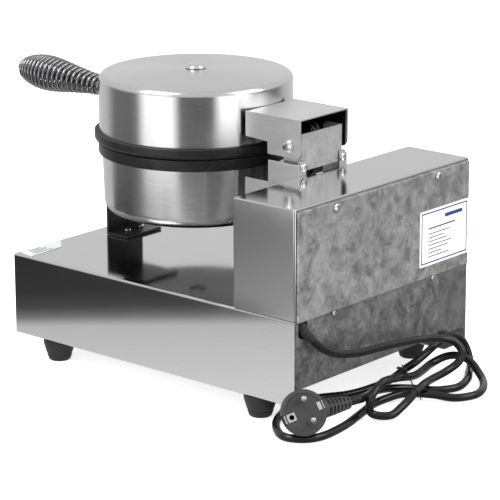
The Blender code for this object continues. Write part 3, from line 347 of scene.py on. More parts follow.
SIDE_GRAIN = (40, 18, 2600)
M = {
    "base": brushed("polished_stainless_base", (2300, 14, 2300), 0.62, 0.69, 0.07, 0.02, 0.0, None, 0.015, 0.03, REAR - 0.4 * MM),
    "housing": brushed("polished_stainless_housing", (12, 2300, 2300), 0.60, 0.67, 0.11, 0.025, 0.0, None, 0.015, 0.03),
    "heads": around("ring_brushed_stainless", 0.63, 0.71, 0.21, 0.75),
    "bracket": channel_steel("satin_stainless_bracket", 0.70, 0.82, 0.36),
    "zinc": zinc_sheet("galvanised_sheet_rear", 0.24, 0.68, 0.42),
    # painted shade: a darker copy of the galvanised sheet, so the lower rear panel reads as shaded below the cover
    # plate's edge; the bottom tray uses it too
    "zinc_shaded": zinc_sheet("galvanised_sheet_painted_shade", 0.13, 0.46, 0.42),
    "zinc_post": zinc_sheet("galvanised_sheet_post", 0.50, 0.80, 0.42, 0.8),
    "screw": plated("bright_zinc_screw", (0.74, 0.74, 0.75), 0.2),
    "chrome": plated("chromed_wire", (0.30, 0.30, 0.31), 0.12, 1.0, 0.10, 60.0),
    "nickel": plated("nickel_plated_brass", (0.78, 0.76, 0.70), 0.22),
    "iron": moulded("seasoned_iron", (0.010, 0.010, 0.011), 0.36, 1300.0, 0.14, 0.0, 0.5, 1.5, 0.3),
    "iron_face": moulded("seasoned_iron_face", (0.02, 0.02, 0.021), 0.34, 900.0, 0.05, 0.0, 0.3, 0.4, 0.5),
    "black_paint": moulded("satin_black_paint", (0.010, 0.010, 0.011), 0.34, 420.0, 0.10, 0.1, 0.3, 0.0, 0.35),
    "rubber": moulded("black_rubber_fine", (0.014, 0.014, 0.015), 0.5, 2400.0, 0.2, 0.0, 0.25, 0.0, 0.35),
    "plug": moulded("plug_rubber", (0.038, 0.038, 0.040), 0.5, 2200.0, 0.25, 0.0, 0.3, 0.0, 0.4),
    "pvc": moulded("glossy_black_pvc", (0.004, 0.004, 0.0045), 0.17, 900.0, 0.04, 0.15, 0.4, 0.6, 0.4),
    "wire": moulded("wire_sleeving", (0.006, 0.006, 0.007), 0.2, 1500.0, 0.05, 0.15, 0.4, 0.0, 0.4),
    "plastic": moulded("black_moulded_plastic", (0.022, 0.022, 0.024), 0.38, 1900.0, 0.16),
    "film": moulded("white_label_film", (0.86, 0.87, 0.88), 0.32, 700.0, 0.03, 0.2, -0.03),
    "blue": moulded("blue_print", (0.012, 0.03, 0.19), 0.36, 700.0, 0.03, 0.0, 0.2),
    "ink": moulded("grey_print", (0.05, 0.05, 0.06), 0.4, 700.0, 0.03, 0.0, 0.5),
    "white_mark": moulded("white_dial_print", (0.8, 0.8, 0.8), 0.45, 900.0, 0.03, 0.0, -0.04),
    "sheath": plated("heater_sheath_metal", (0.34, 0.33, 0.32), 0.42),
    "fibre": moulded("ceramic_fibre_felt", (0.80, 0.78, 0.72), 0.9, 700.0, 0.8, 0.0, -0.08, 1.0),
    "ivory": moulded("ivory_terminal_plastic", (0.74, 0.71, 0.62), 0.45, 1500.0, 0.08, 0.0, -0.05),
    "green": lens("green_lens_plastic", (0.04, 0.42, 0.08)),
    "amber": lens("amber_lens_plastic", (0.75, 0.27, 0.02)),
    "painted_hole_shade": moulded("socket_hole_painted_shade", (0.004, 0.004, 0.004), 0.8),
}
BY_SLOT = {
    "brushed_stainless": "base",
    "galvanised_sheet": "zinc",
    "heater_sheath": "sheath",
    "zinc_hardware": "screw",
    "chrome_wire": "chrome",
    "black_iron": "iron",
    "black_paint": "black_paint",
    "black_rubber": "rubber",
    "black_pvc": "pvc",
    "black_plastic": "plastic",
    "nickel_brass": "nickel",
    "label_film": "film",
    "ceramic_fibre": "fibre",
    "green_lens": "green",
    "amber_lens": "amber",
}
for node, obj in frame["nodes"].items():
    obj.data.materials.clear()
    obj.data.materials.append(M["ivory" if node == "terminal_block" else BY_SLOT[SLOT_OF[node]]])

# ---------------------------------------------------------------------------------------
# mesh helpers
# ---------------------------------------------------------------------------------------


def finished(name, mesh, mat, body, replaces=(), sharp=35):
    obj = bpy.data.objects.new(name, mesh)
    bpy.context.scene.collection.objects.link(obj)
    if mat is not None:
        mesh.materials.clear()
        mesh.materials.append(mat)
    if sharp:
        mesh.shade_smooth()
        mesh.set_sharp_from_angle(angle=math.radians(sharp))
    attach(obj, body)
    if replaces:
        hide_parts(*replaces)
    return obj


def mesh_of(name, verts, faces):
    mesh = bpy.data.meshes.new(name)
    mesh.from_pydata([tuple(v) for v in verts], [], faces)
    bm = bmesh.new()
    bm.from_mesh(mesh)
    bmesh.ops.remove_doubles(bm, verts=bm.verts, dist=1e-7)
    bmesh.ops.recalc_face_normals(bm, faces=bm.faces)
    bm.to_mesh(mesh)
    bm.free()
    return mesh


def rounded(points, radius, closed=False, steps=4):
    """Rounds the corners of a flat outline of (u, v) points."""
    pts = [Vector(p) for p in points]
    out = []
    n = len(pts)
    for i, p in enumerate(pts):
        if not closed and i in (0, n - 1):
            out.append(tuple(p))
            continue
        a, c = pts[i - 1], pts[(i + 1) % n]
        u, v = (a - p), (c - p)
        if u.length < 1e-9 or v.length < 1e-9:
            continue
        angle = u.angle(v)
        if angle > math.radians(168):
            out.append(tuple(p))
            continue
        r = min(radius, 0.42 * min(u.length, v.length) * math.tan(angle / 2))
        reach = r / math.tan(angle / 2)
        s, e = p + u.normalized() * reach, p + v.normalized() * reach
        centre = p + (u.normalized() + v.normalized()).normalized() * (r / math.sin(angle / 2))
        a0 = math.atan2(s.y - centre.y, s.x - centre.x)
        a1 = math.atan2(e.y - centre.y, e.x - centre.x)
        sweep = (a1 - a0 + math.pi) % (2 * math.pi) - math.pi
        for k in range(steps + 1):
            w = a0 + sweep * k / steps
            out.append((centre.x + r * math.cos(w), centre.y + r * math.sin(w)))
    return out


def lathe_mesh(name, profile, origin, direction, steps, closed=False):
    """Turns (radius, height) points about direction through origin."""
    turn = Vector((0, 0, 1)).rotation_difference(Vector(direction)).to_matrix().to_4x4()
    to = Matrix.Translation(origin) @ turn
    verts, faces, rows = [], [], []
    for r, h in profile:
        if r < 1e-7:
            rows.append([len(verts)] * steps)
            verts.append(to @ Vector((0, 0, h)))
        else:
            rows.append([len(verts) + k for k in range(steps)])
            for k in range(steps):
                a = 2 * math.pi * k / steps
                verts.append(to @ Vector((r * math.cos(a), r * math.sin(a), h)))
    pairs = list(zip(rows, rows[1:])) + ([(rows[-1], rows[0])] if closed else [])
    for low, high in pairs:
        for k in range(steps):
            m = (k + 1) % steps
            face = []
            for v in (low[k], low[m], high[m], high[k]):
                if v not in face:
                    face.append(v)
            if len(face) > 2:
                faces.append(face)
    return mesh_of(name, verts, faces)


def lathe(name, profile, origin, direction, steps, mat, body, replaces=(), closed=False, radius=0.4 * MM, arc=4):
    profile = rounded(profile, radius, closed, arc) if radius else profile
    return finished(name, lathe_mesh(name, profile, origin, direction, steps, closed), mat, body, replaces)


def swept_mesh(name, path, radii, sides=16, closed=False, flat=None):
    """A round tube along path, with a radius at each point."""
    path = [Vector(p) for p in path]
    n = len(path)
    radii = list(radii) if hasattr(radii, "__len__") else [radii] * n
    ways = []
    for i in range(n):
        a = path[i - 1] if i or closed else path[0]
        c = path[(i + 1) % n] if i < n - 1 or closed else path[-1]
        ways.append((c - a).normalized())
    across = ways[0].orthogonal().normalized()
    verts, faces = [], []
    frames = []
    for i in range(n):
        if i:
            across = (ways[i - 1].rotation_difference(ways[i]).to_matrix() @ across).normalized()
        across = (across - ways[i] * across.dot(ways[i])).normalized()
        frames.append((across.copy(), ways[i].cross(across)))
    twist = 0.0
    if closed:
        last = (ways[-1].rotation_difference(ways[0]).to_matrix() @ frames[-1][0]).normalized()
        twist = math.atan2(last.dot(frames[0][1]), last.dot(frames[0][0]))
    for i, (p, r) in enumerate(zip(path, radii)):
        u, v = frames[i]
        t = -twist * i / n
        for k in range(sides):
            a = 2 * math.pi * k / sides + t
            verts.append(p + (u * math.cos(a) + v * math.sin(a)) * r)
    for i in range(n if closed else n - 1):
        j = (i + 1) % n
        for k in range(sides):
            m = (k + 1) % sides
            faces.append([i * sides + k, i * sides + m, j * sides + m, j * sides + k])
    if not closed:
        faces.append([k for k in range(sides)][::-1])
        faces.append([(n - 1) * sides + k for k in range(sides)])
    return mesh_of(name, verts, faces)


def prism_mesh(name, outline, axis, low, high):
    def at(pair, level):
        u, v = pair
        return {"X": (level, u, v), "Y": (u, level, v), "Z": (u, v, level)}[axis]

    n = len(outline)
    verts = [at(p, low) for p in outline] + [at(p, high) for p in outline]
    faces = [list(range(n)), list(range(n, 2 * n))]
    faces += [[k, (k + 1) % n, n + (k + 1) % n, n + k] for k in range(n)]
    return mesh_of(name, verts, faces)


def rect(u0, u1, v0, v1):
    return [(u0, v0), (u1, v0), (u1, v1), (u0, v1)]


def cut_mesh(name, mesh, tools, operation="DIFFERENCE"):
    """The mesh with tools cut out of it, or joined to it."""
    scene = bpy.context.scene
    obj = bpy.data.objects.new(name, mesh)
    scene.collection.objects.link(obj)
    made = []
    for k, tool in enumerate(tools):
        other = bpy.data.objects.new(f"{name}_tool_{k}", tool)
        scene.collection.objects.link(other)
        m = obj.modifiers.new("cut", "BOOLEAN")
        m.operation = operation
        m.object = other
        made.append(other)
    bpy.context.view_layer.update()
    done = bpy.data.meshes.new_from_object(obj.evaluated_get(bpy.context.evaluated_depsgraph_get()))
    for o in [obj, *made]:
        bpy.data.objects.remove(o)
    done.name = name
    return done


def joined(name, meshes):
    bm = bmesh.new()
    for mesh in meshes:
        bm.from_mesh(mesh)
    out = bpy.data.meshes.new(name)
    bm.to_mesh(out)
    bm.free()
    return out


def refine(node, mat, width=0.25 * MM, segments=2):
    """The solid part's own shape with its edges broken, as bent and deburred sheet has."""
    source = frame["nodes"][node]
    bm = bmesh.new()
    bm.from_mesh(source.data)
    bmesh.ops.remove_doubles(bm, verts=bm.verts, dist=3e-6)
    bmesh.ops.dissolve_limit(
        bm, angle_limit=math.radians(0.5), use_dissolve_boundaries=False, verts=bm.verts, edges=bm.edges
    )
    bmesh.ops.recalc_face_normals(bm, faces=bm.faces)
    mesh = bpy.data.meshes.new(node + "_fine")
    bm.to_mesh(mesh)
    bm.free()
    obj = finished(node + "_fine", mesh, mat, BODY_OF[node], (node,))
    if width:
        m = obj.modifiers.new("edges", "BEVEL")
        m.width = width
        m.segments = segments
        m.limit_method = "ANGLE"
        m.angle_limit = math.radians(38)
        m.use_clamp_overlap = True
        flat = obj.modifiers.new("flat", "WEIGHTED_NORMAL")
        flat.keep_sharp = True
        flat.weight = 100
    return obj


def smooth_route(route, step):
    """Points about one step apart along a Catmull-Rom curve through the route."""
    route = [Vector(p) for p in route]
    fine = []
    for i in range(len(route) - 1):
        a = route[i - 1] if i else route[0] * 2 - route[1]
        b, c = route[i], route[i + 1]
        d = route[i + 2] if i + 2 < len(route) else c * 2 - b
        t0 = 0.0
        t1 = t0 + (b - a).length ** 0.5
        t2 = t1 + (c - b).length ** 0.5
        t3 = t2 + (d - c).length ** 0.5
        for k in range(24):
            t = t1 + (t2 - t1) * k / 24
            a1 = a * ((t1 - t) / (t1 - t0)) + b * ((t - t0) / (t1 - t0))
            a2 = b * ((t2 - t) / (t2 - t1)) + c * ((t - t1) / (t2 - t1))
            a3 = c * ((t3 - t) / (t3 - t2)) + d * ((t - t2) / (t3 - t2))
            b1 = a1 * ((t2 - t) / (t2 - t0)) + a2 * ((t - t0) / (t2 - t0))
            b2 = a2 * ((t3 - t) / (t3 - t1)) + a3 * ((t - t1) / (t3 - t1))
            fine.append(b1 * ((t2 - t) / (t2 - t1)) + b2 * ((t - t1) / (t2 - t1)))
    fine.append(route[-1])
    total = sum((q - p).length for p, q in zip(fine, fine[1:]))
    count = max(2, round(total / step))
    out, walked, target = [fine[0]], 0.0, total / count
    for p, q in zip(fine, fine[1:]):
        length = (q - p).length
        while walked + length >= target and len(out) < count:
            out.append(p.lerp(q, (target - walked) / length))
            target += total / count
        walked += length
    out.append(fine[-1])
    return out

# ---------------------------------------------------------------------------------------
# mains lead, its tie, strain relief and plug
# ---------------------------------------------------------------------------------------
CORD_R = 3.5 * MM
CORD_ROUTE = [
    (109.5, 202.8, 103.6),
    (109.5, 207.9, 97.4),
    (109.5, 213.1, 91.1),
    (109.3, 218.3, 84.9),
    (105.4, 221.9, 78.8),
    (94, 226, 68),
    (80, 228.5, 61),
    (56, 230.5, 56),
    (16, 231, 52.5),
    (-24.5, 230, 47.5),
    (-48, 229, 43),
    (-63.5, 232, 40),
    (-70.5, 236, 38),
    (-74.5, 241.5, 33.5),
    (-75, 246, 27),
    (-70.5, 246, 20.5),
    (-56.5, 242.5, 14),
    (-32.5, 244, 13),
    (-10, 252, 15.5),
    (6, 256.5, 14.5),
    (29.5, 260, 8.5),
    (44.5, 258.5, 4),
    (56, 247.5, 6.5),
    (57.5, 246.5, 13.5),
    (54.5, 246.5, 21),
    (39, 244, 27.5),
    (-0.5, 230.5, 19.5),
    (-31.5, 225.5, 12.5),
    (-62, 214.5, 8.5),
    (-77.5, 210, 8.5),
    (-91, 214.5, 12.5),
    (-95, 221, 14.5),
    (-96, 229, 15.2),
    (-94.5, 237, 14.5),
    (-93.5, 244.5, 11.5),
    (-90.5, 251.5, 8),
    (-82, 263.5, 4),
    (-62, 277.5, 3.8),
    (-46.5, 281.5, 3.8),
    (-31.5, 276, 3.8),
    (-25.5, 270, 4),
    (-17, 256.5, 6),
    (-2, 237.5, 6.5),
    (12.5, 232, 5.4),
    (28.5, 229.5, 4),
    (60, 237.5, 3.8),
    (91, 245, 3.8),
    (123.5, 246, 3.8),
    (137, 237.5, 3.8),
    (141.5, 222.5, 3.8),
    (122, 198, 3.8),
    (85.5, 181, 3.8),
    (61, 179.5, 3.8),
    (46, 184.5, 3.8),
    (25, 197, 3.8),
    (1.5, 203, 4.5),
    (-21.5, 209, 8.5),
    (-35, 214.5, 16),
    (-41, 219, 20.5),
    (-54.5, 221, 26),
    (-78, 221, 33),
    (-93.5, 223, 33.5),
    (-100.5, 225.5, 29.5),
    (-105, 228.5, 21),
    (-105.5, 231.5, 13),
    (-103, 235, 6.5),
    (-95, 239.5, 3.8),
    (-75.5, 251.5, 3.8),
    (-52.5, 258, 3.8),
    (-38, 252, 3.8),
    (-32, 246.5, 3.8),
    (-20.5, 235, 5.8),
    (1, 224.4, 9.2),
    (25, 226.3, 13.2),
    (43, 233.5, 15.8),
    (60, 240.5, 19.2),
    (70.5, 242.6, 21),
    (80.2, 242, 21.5),
]
cord_line = smooth_route([Vector(p) * MM for p in CORD_ROUTE], 1.6 * MM)
cord_line = [Vector((p.x, p.y, max(p.z, CORD_R + 0.3 * MM))) for p in cord_line]
curve = bpy.data.curves.new("mains_lead", "CURVE")
curve.dimensions = "3D"
curve.bevel_depth = CORD_R
curve.bevel_resolution = 5
curve.use_fill_caps = True
curve.use_path = False
spline = curve.splines.new("POLY")
spline.points.add(len(cord_line) - 1)
for point, place in zip(spline.points, cord_line):
    point.co = (*place, 1)
spline.use_smooth = True
lead = bpy.data.objects.new("mains_lead", curve)
bpy.context.scene.collection.objects.link(lead)
curve.materials.append(M["pvc"])
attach(lead, "base")
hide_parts("power_cord")

# tapered strain relief moulded over the lead, with flexing grooves
sleeve_line, walked = [], 0.0
for p, q in zip(cord_line, cord_line[1:]):
    if walked >= 6.4 * MM:
        sleeve_line.append(p)
    walked += (q - p).length
    if walked > 34 * MM:
        break
sleeve_line = smooth_route(sleeve_line, 0.5 * MM)
sleeve_radii = []
count = len(sleeve_line) - 1
for i in range(count + 1):
    s = i / count
    r = 5.0 - 1.15 * s
    if s < 0.06:
        r = 6.1
    elif 0.14 < s < 0.97:
        wave = math.sin(math.pi * ((s - 0.14) / 0.83) * 9)
        r -= 0.42 * max(0.0, wave) ** 2
    if s > 0.97:
        r -= 0.25 * (s - 0.97) / 0.03
    sleeve_radii.append(r * MM)
sleeve = finished(
    "strain_relief",
    swept_mesh("strain_relief", sleeve_line, sleeve_radii, 28),
    M["rubber"],
    "base",
    ("cord_sleeve",),
)

# wire tie round the folded lead, with its two ends twisted together
TIE_ROUTE = [
    (-17.0, 228.5, 20.5),
    (-14.1, 231.8, 20.0),
    (-11.2, 235.0, 19.6),
    (-8.3, 238.4, 19.3),
    (-5.4, 241.7, 19.1),
    (-2.5, 245.0, 18.8),
    (0.4, 248.3, 18.5),
    (3.3, 251.6, 18.2),
    (6.2, 254.9, 18.1),
    (8.6, 258.8, 17.3),
    (8.3, 261.3, 13.7),
    (5.2, 259.7, 10.8),
    (1.9, 257.5, 8.8),
    (-1.4, 255.4, 6.8),
    (-4.8, 253.4, 4.8),
    (-8.1, 251.3, 2.7),
    (-11.3, 248.9, 1.3),
    (-14.5, 245.7, 1.2),
    (-17.5, 242.5, 1.0),
    (-20.6, 239.4, 0.9),
    (-23.3, 236.1, 1.0),
    (-25.4, 232.6, 2.9),
    (-27.5, 229.1, 4.6),
    (-29.6, 225.6, 6.3),
    (-31.7, 222.1, 8.0),
    (-33.7, 218.5, 9.6),
    (-36.0, 215.0, 11.1),
    (-37.3, 211.6, 13.6),
    (-35.5, 210.4, 17.6),
    (-32.2, 212.4, 19.5),
    (-29.2, 215.8, 19.6),
    (-26.1, 218.9, 19.7),
    (-23.1, 222.1, 19.9),
    (-20.0, 225.3, 20.0),
]
loop = [Vector(p) * MM for p in TIE_ROUTE]
dense = []
for i in range(len(loop)):
    a, b, c, d = (loop[(i + k) % len(loop)] for k in (-1, 0, 1, 2))
    for k in range(4):
        t = k / 4
        dense.append(
            0.5 * ((2 * b) + (c - a) * t + (2 * a - 5 * b + 4 * c - d) * t * t + (3 * b - a - 3 * c + d) * t ** 3)
        )
tie_loop = swept_mesh("tie_loop", dense, 0.55 * MM, 8, True)
tail = [Vector((-17.0, 228.5, 20.9)), Vector((-14.6, 226.4, 23.2)), Vector((-10.8, 225.6, 25.0)), Vector((-6.6, 226.6, 26.2))]
tail_line = smooth_route([p * MM for p in tail], 0.22 * MM)
strands = []
for phase in (0, math.pi):
    route = []
    for i, p in enumerate(tail_line):
        way = (tail_line[min(i + 1, len(tail_line) - 1)] - tail_line[max(i - 1, 0)]).normalized()
        u = way.cross(Vector((0, 0, 1))).normalized()
        v = way.cross(u)
        a = phase + i * 0.42
        route.append(p + (u * math.cos(a) + v * math.sin(a)) * 0.62 * MM)
    strands.append(swept_mesh("tie_strand", route, 0.55 * MM, 8))
tie = finished(
    "wire_tie", joined("wire_tie", [tie_loop, *strands]), M["wire"], "base", ("cord_tie",)
)

# plug: an angled two-pin plug with side earth strips and a ribbed boot
PLUG_FACE = Vector((136.7, 240.9, 27.8)) * MM
PLUG_N = Vector((0.5354, 0.7111, 0.4557)).normalized()
PLUG_X = Vector((-0.8446, 0.4533, 0.2849))
PLUG_X = (PLUG_X - PLUG_N * PLUG_X.dot(PLUG_N)).normalized()
PLUG_Y = PLUG_N.cross(PLUG_X)
PLUG = Matrix.Translation(PLUG_FACE) @ Matrix((PLUG_X, PLUG_Y, PLUG_N)).transposed().to_4x4()
plug_back = PLUG_FACE - PLUG_N * 8.5 * MM
BOOT_END = Vector((80.5, 242.0, 21.5)) * MM
BOOT_L = (BOOT_END - plug_back).length
BOOT_WAY = (BOOT_END - plug_back).normalized()


def in_plug(mesh):
    mesh.transform(PLUG)
    return mesh


disc = lathe_mesh(
    "disc",
    rounded(
        [
            (0, -0.9 * MM), (15.4 * MM, -0.9 * MM), (15.6 * MM, 0), (17.6 * MM, 0), (19.2 * MM, -0.9 * MM),
            (19.4 * MM, -5.6 * MM), (16.7 * MM, -8.6 * MM), (13.9 * MM, -14 * MM), (10.9 * MM, -17.3 * MM), (0, -18.9 * MM),
        ],
        0.9 * MM,
    ),
    (0, 0, 0),
    (0, 0, 1),
    72,
)
in_plug(disc)
boot_turn = Vector((0, 0, 1)).rotation_difference(BOOT_WAY).to_matrix().to_4x4()
# the boot's own sideways direction lies along the plug's face
boot_side = PLUG_N.cross(BOOT_WAY).normalized()
boot_up = BOOT_WAY.cross(boot_side).normalized()
BOOT = Matrix.Translation(plug_back) @ Matrix((boot_side, boot_up, BOOT_WAY)).transposed().to_4x4()
boot_profile = rounded(
    [(0, 4 * MM), (8.3 * MM, 4 * MM), (8.3 * MM, 21 * MM), (7.5 * MM, 33 * MM), (5.5 * MM, BOOT_L - 0.9 * MM), (4.9 * MM, BOOT_L - 0.2 * MM), (0, BOOT_L - 0.2 * MM)],
    0.8 * MM,
)
boot = lathe_mesh("boot", boot_profile, (0, 0, 0), (0, 0, 1), 40)
slots = []
for k in range(6):
    at = 24 * MM + k * 4.6 * MM
    for sx in (-1, 1):
        for sy in (-1, 1):
            u = sorted((sx * 0.9 * MM, sx * 9.5 * MM))
            v = sorted((sy * 3.6 * MM, sy * 9.5 * MM))
            slots.append(prism_mesh("slot", rect(u[0], u[1], v[0], v[1]), "Z", at, at + 2.1 * MM))
boot = cut_mesh("boot_cut", boot, [joined("slots", slots)])
boot.transform(BOOT)
channels = [
    in_plug(prism_mesh("channel", rect(16.7 * MM * s if s > 0 else -22 * MM, 22 * MM if s > 0 else -16.7 * MM, -4.6 * MM, 4.6 * MM), "Z", -6.2 * MM, 3 * MM))
    for s in (1, -1)
]
socket = in_plug(lathe_mesh("socket", [(0, -9 * MM), (2.35 * MM, -9 * MM), (2.35 * MM, 3 * MM), (0, 3 * MM)], (-11.6 * MM, 0, 0), (0, 0, 1), 28))
body_mesh = cut_mesh("plug_union", disc, [boot], "UNION")
body_mesh = cut_mesh("plug_cut", body_mesh, [joined("channels", channels), socket])
plug = finished("mains_plug", body_mesh, M["plug"], "base", ("plug_body",), 38)
m = plug.modifiers.new("edges", "BEVEL")
m.width, m.segments, m.limit_method, m.angle_limit = 0.25 * MM, 2, "ANGLE", math.radians(50)
m.harden_normals = True

pin_profile = [(0, 0.2 * MM), (2.38 * MM, 0.2 * MM), (2.38 * MM, 17.0 * MM), (1.3 * MM, 18.9 * MM), (0, 19 * MM)]
for name, sign in (("upper", 1), ("lower", -1)):
    lathe(
            f"mains_pin_{name}", pin_profile, PLUG_FACE - PLUG_N * 0.9 * MM + PLUG_N * 0.9 * MM + PLUG_Y * 9.5 * MM * sign, PLUG_N, 32,
            M["nickel"], "base", (f"plug_pin_{name}",), radius=0.8 * MM,
        )
# earth strips: a folded plate at each side, one of them pierced for an earth pin
for name, sign in (("near", 1), ("far", -1)):
    low, high = (8.2, 16.5) if sign < 0 else (12.2, 16.5)
    plate = prism_mesh("plate", rect(low * MM, high * MM, -3.4 * MM, 3.4 * MM), "Z", -0.85 * MM, -0.25 * MM)
    fold = prism_mesh("fold", rect(16.72 * MM, 17.4 * MM, -3.4 * MM, 3.4 * MM), "Z", -6.0 * MM, -0.25 * MM)
    bridge = prism_mesh("bridge", rect(15.9 * MM, 17.4 * MM, -3.4 * MM, 3.4 * MM), "Z", -0.86 * MM, -0.24 * MM)
    strip = cut_mesh("strip", plate, [bridge, fold], "UNION")
    if sign < 0:
        hole = lathe_mesh("hole", [(0, -4 * MM), (2.2 * MM, -4 * MM), (2.2 * MM, 3 * MM), (0, 3 * MM)], (11.6 * MM, 0, 0), (0, 0, 1), 28)
        strip = cut_mesh("strip_cut", strip, [hole])
        strip.transform(Matrix.Rotation(math.pi, 4, "Z"))
    in_plug(strip)
    finished(f"earth_strip_{name}", strip, M["nickel"], "base", (f"plug_earth_{name}",), 30)
# painted shade: a near-black disc at the bottom of the earth socket stands in for the shadow in the hole
floor_of_socket = lathe_mesh("socket_floor", rounded([(0, -8.9 * MM), (2.3 * MM, -8.9 * MM), (2.3 * MM, -7.9 * MM), (0, -7.6 * MM)], 0.2 * MM), (-11.6 * MM, 0, 0), (0, 0, 1), 24)
finished("earth_socket_floor", in_plug(floor_of_socket), M["painted_hole_shade"], "base")

# ---------------------------------------------------------------------------------------
# sheet parts keep their solid shape, with broken edges
# ---------------------------------------------------------------------------------------
for node, mat in (
    ("base_shell", "base"), ("front_panel", "base"), ("lower_rear_panel", "zinc_shaded"), ("bottom_tray", "zinc_shaded"),
    ("rear_housing", "housing"), ("rear_cover_plate", "zinc"), ("lower_hinge_bracket", "bracket"),
    ("upper_hinge_bracket", "bracket"), ("hinge_post", "zinc_post"), ("front_support_bracket", "black_paint"),
    ("power_switch", "plastic"), ("terminal_block", "ivory"), ("heater_relay", "plastic"), ("thermostat_body", "plastic"),
):
    refine(node, M[mat])

# a black sheet under the wiring channel inside the upper bracket, put there as painted shade for the dark interior
y_far, y_near = REAR - 124.2 * MM, REAR - 104 * MM
step = [(y_far, 218.2 * MM), (y_far, 219.2 * MM), (y_near, 219.2 * MM), (y_near, 206.4 * MM), (y_near - MM, 206.4 * MM), (y_near - MM, 218.2 * MM)]
finished("channel_shade_sheet", prism_mesh("channel_shade_sheet", step, "X", -31 * MM, 31 * MM), M["black_paint"], "lid", (), 30)

# ---------------------------------------------------------------------------------------
# baking heads
# ---------------------------------------------------------------------------------------
SHEET = 1.2 * MM
UPPER_TOP, CROWN, UPPER_RIM = 258 * MM, 3.4 * MM, 207.7 * MM
LOWER_R, LOWER_BASE_R, LOWER_RIM = 84.5 * MM, 83.2 * MM, 186.7 * MM


def cup(rim_r, base_r, rim, base, corner, crown, bore):
    """Closed section of a spun cup, with fine arcs at its corner and a crowned end."""
    sign = 1 if base > rim else -1

    def wall(inset):
        r, b = corner - inset, base - sign * inset
        pts = [(rim_r - inset, rim)]
        pts += [
            (base_r - corner + r * math.cos(math.radians(a)), base - sign * corner + sign * r * math.sin(math.radians(a)))
            for a in (90 * k / 14 for k in range(15))
        ]
        flat = base_r - corner
        for k in range(1, 16):
            rr = bore + (flat - bore) * (1 - k / 15)
            pts.append((rr, b + sign * crown * (1 - (rr / flat) ** 2)))
        return pts

    return wall(0) + list(reversed(wall(SHEET)))


lathe("upper_casing_spun", cup(UPPER_R, UPPER_R, UPPER_RIM, UPPER_TOP, 6 * MM, CROWN, 3.4 * MM), HEAD, (0, 0, 1), 192, M["heads"], "lid", ("upper_casing",), True, radius=0)
lathe("lower_casing_spun", cup(LOWER_R, LOWER_BASE_R, LOWER_RIM, LOWER_BOTTOM, 10 * MM, 0, 8 * MM), HEAD, (0, 0, 1), 192, M["heads"], "base", ("lower_casing",), True, radius=0)

SPLIT = 197.6 * MM
GAP = 0.3 * MM
lower_profile = [
    (0, SPLIT - GAP - 1.5 * MM), (86.2 * MM, SPLIT - GAP - 1.5 * MM), (86.6 * MM, SPLIT - GAP), (87.4 * MM, SPLIT - GAP),
    (88 * MM, SPLIT - GAP - 0.6 * MM), (87.6 * MM, 187 * MM), (82.4 * MM, 187 * MM), (82.4 * MM, 182 * MM), (0, 182 * MM),
]
upper_profile = [
    (0, SPLIT + 1.5 * MM), (86.2 * MM, SPLIT + 1.5 * MM), (86.6 * MM, SPLIT + GAP), (88 * MM, SPLIT + GAP), (90.3 * MM, 199.6 * MM),
    (91.2 * MM, 201.2 * MM), (91.2 * MM, 206.8 * MM), (90.6 * MM, 207.4 * MM), (84.6 * MM, 207.4 * MM), (84.6 * MM, 213 * MM), (0, 213 * MM),
]


def waffle_ribs(name, level, up):
    """The fine diamond grid of the baking face: long ribs of trapezoid section, cut to a circle."""
    radius, pitch, height = 81 * MM, 6.4 * MM, 1.15 * MM * up
    meshes = []
    for turn in (45, 135):
        spin = Matrix.Translation(HEAD) @ Matrix.Rotation(math.radians(turn), 4, "Z")
        k = -int(radius / pitch)
        while k <= int(radius / pitch):
            off = k * pitch
            reach = math.sqrt(radius ** 2 - off ** 2)
            if reach > 6 * MM:
                wide, narrow = 1.35 * MM, 0.55 * MM
                verts = []
                for z, w, cutback in ((level - 0.2 * MM * up, wide, 0.0), (level + height * 0.82, narrow * 1.25, 0.9 * MM), (level + height, narrow, 1.3 * MM)):
                    for x in (-(reach - cutback), reach - cutback):
                        for y in (off - w, off + w):
                            verts.append(spin @ Vector((x, y, z)))
                faces = [[0, 1, 3, 2], [8, 9, 11, 10]]
                for j in (0, 4):
                    faces += [[j, j + 1, j + 5, j + 4], [j + 2, j + 3, j + 7, j + 6], [j, j + 2, j + 6, j + 4], [j + 1, j + 3, j + 7, j + 5]]
                meshes.append(mesh_of("rib", verts, faces))
            k += 1
    return joined(name, meshes)


for name, profile, level, up, body in (
    ("lower", lower_profile, SPLIT - GAP - 1.5 * MM, 1, "base"),
    ("upper", upper_profile, SPLIT + 1.5 * MM, -1, "lid"),
):
    disc = lathe_mesh("disc", rounded(profile, 0.7 * MM, False, 4), HEAD, (0, 0, 1), 192)
    finished(f"{name}_baking_plate", disc, M["iron"], body, (f"{name}_plate",), 35)
    finished(f"{name}_waffle_grid", waffle_ribs(f"{name}_waffle_grid", level, up), M["iron_face"], body, (), 25)

crown_top = UPPER_TOP + CROWN
lathe(
    "centre_nut_domed",
    [(0, 251 * MM), (2.6 * MM, 251 * MM), (2.6 * MM, crown_top + GAP), (9.6 * MM, crown_top + GAP), (9.6 * MM, crown_top + 1.0 * MM), (8.3 * MM, crown_top + 1.3 * MM), (7.9 * MM, crown_top + 2.5 * MM), (5.2 * MM, crown_top + 3.8 * MM), (0, crown_top + 4.2 * MM)],
    HEAD, (0, 0, 1), 64, M["screw"], "lid", ("centre_nut",), radius=0.8 * MM,
)

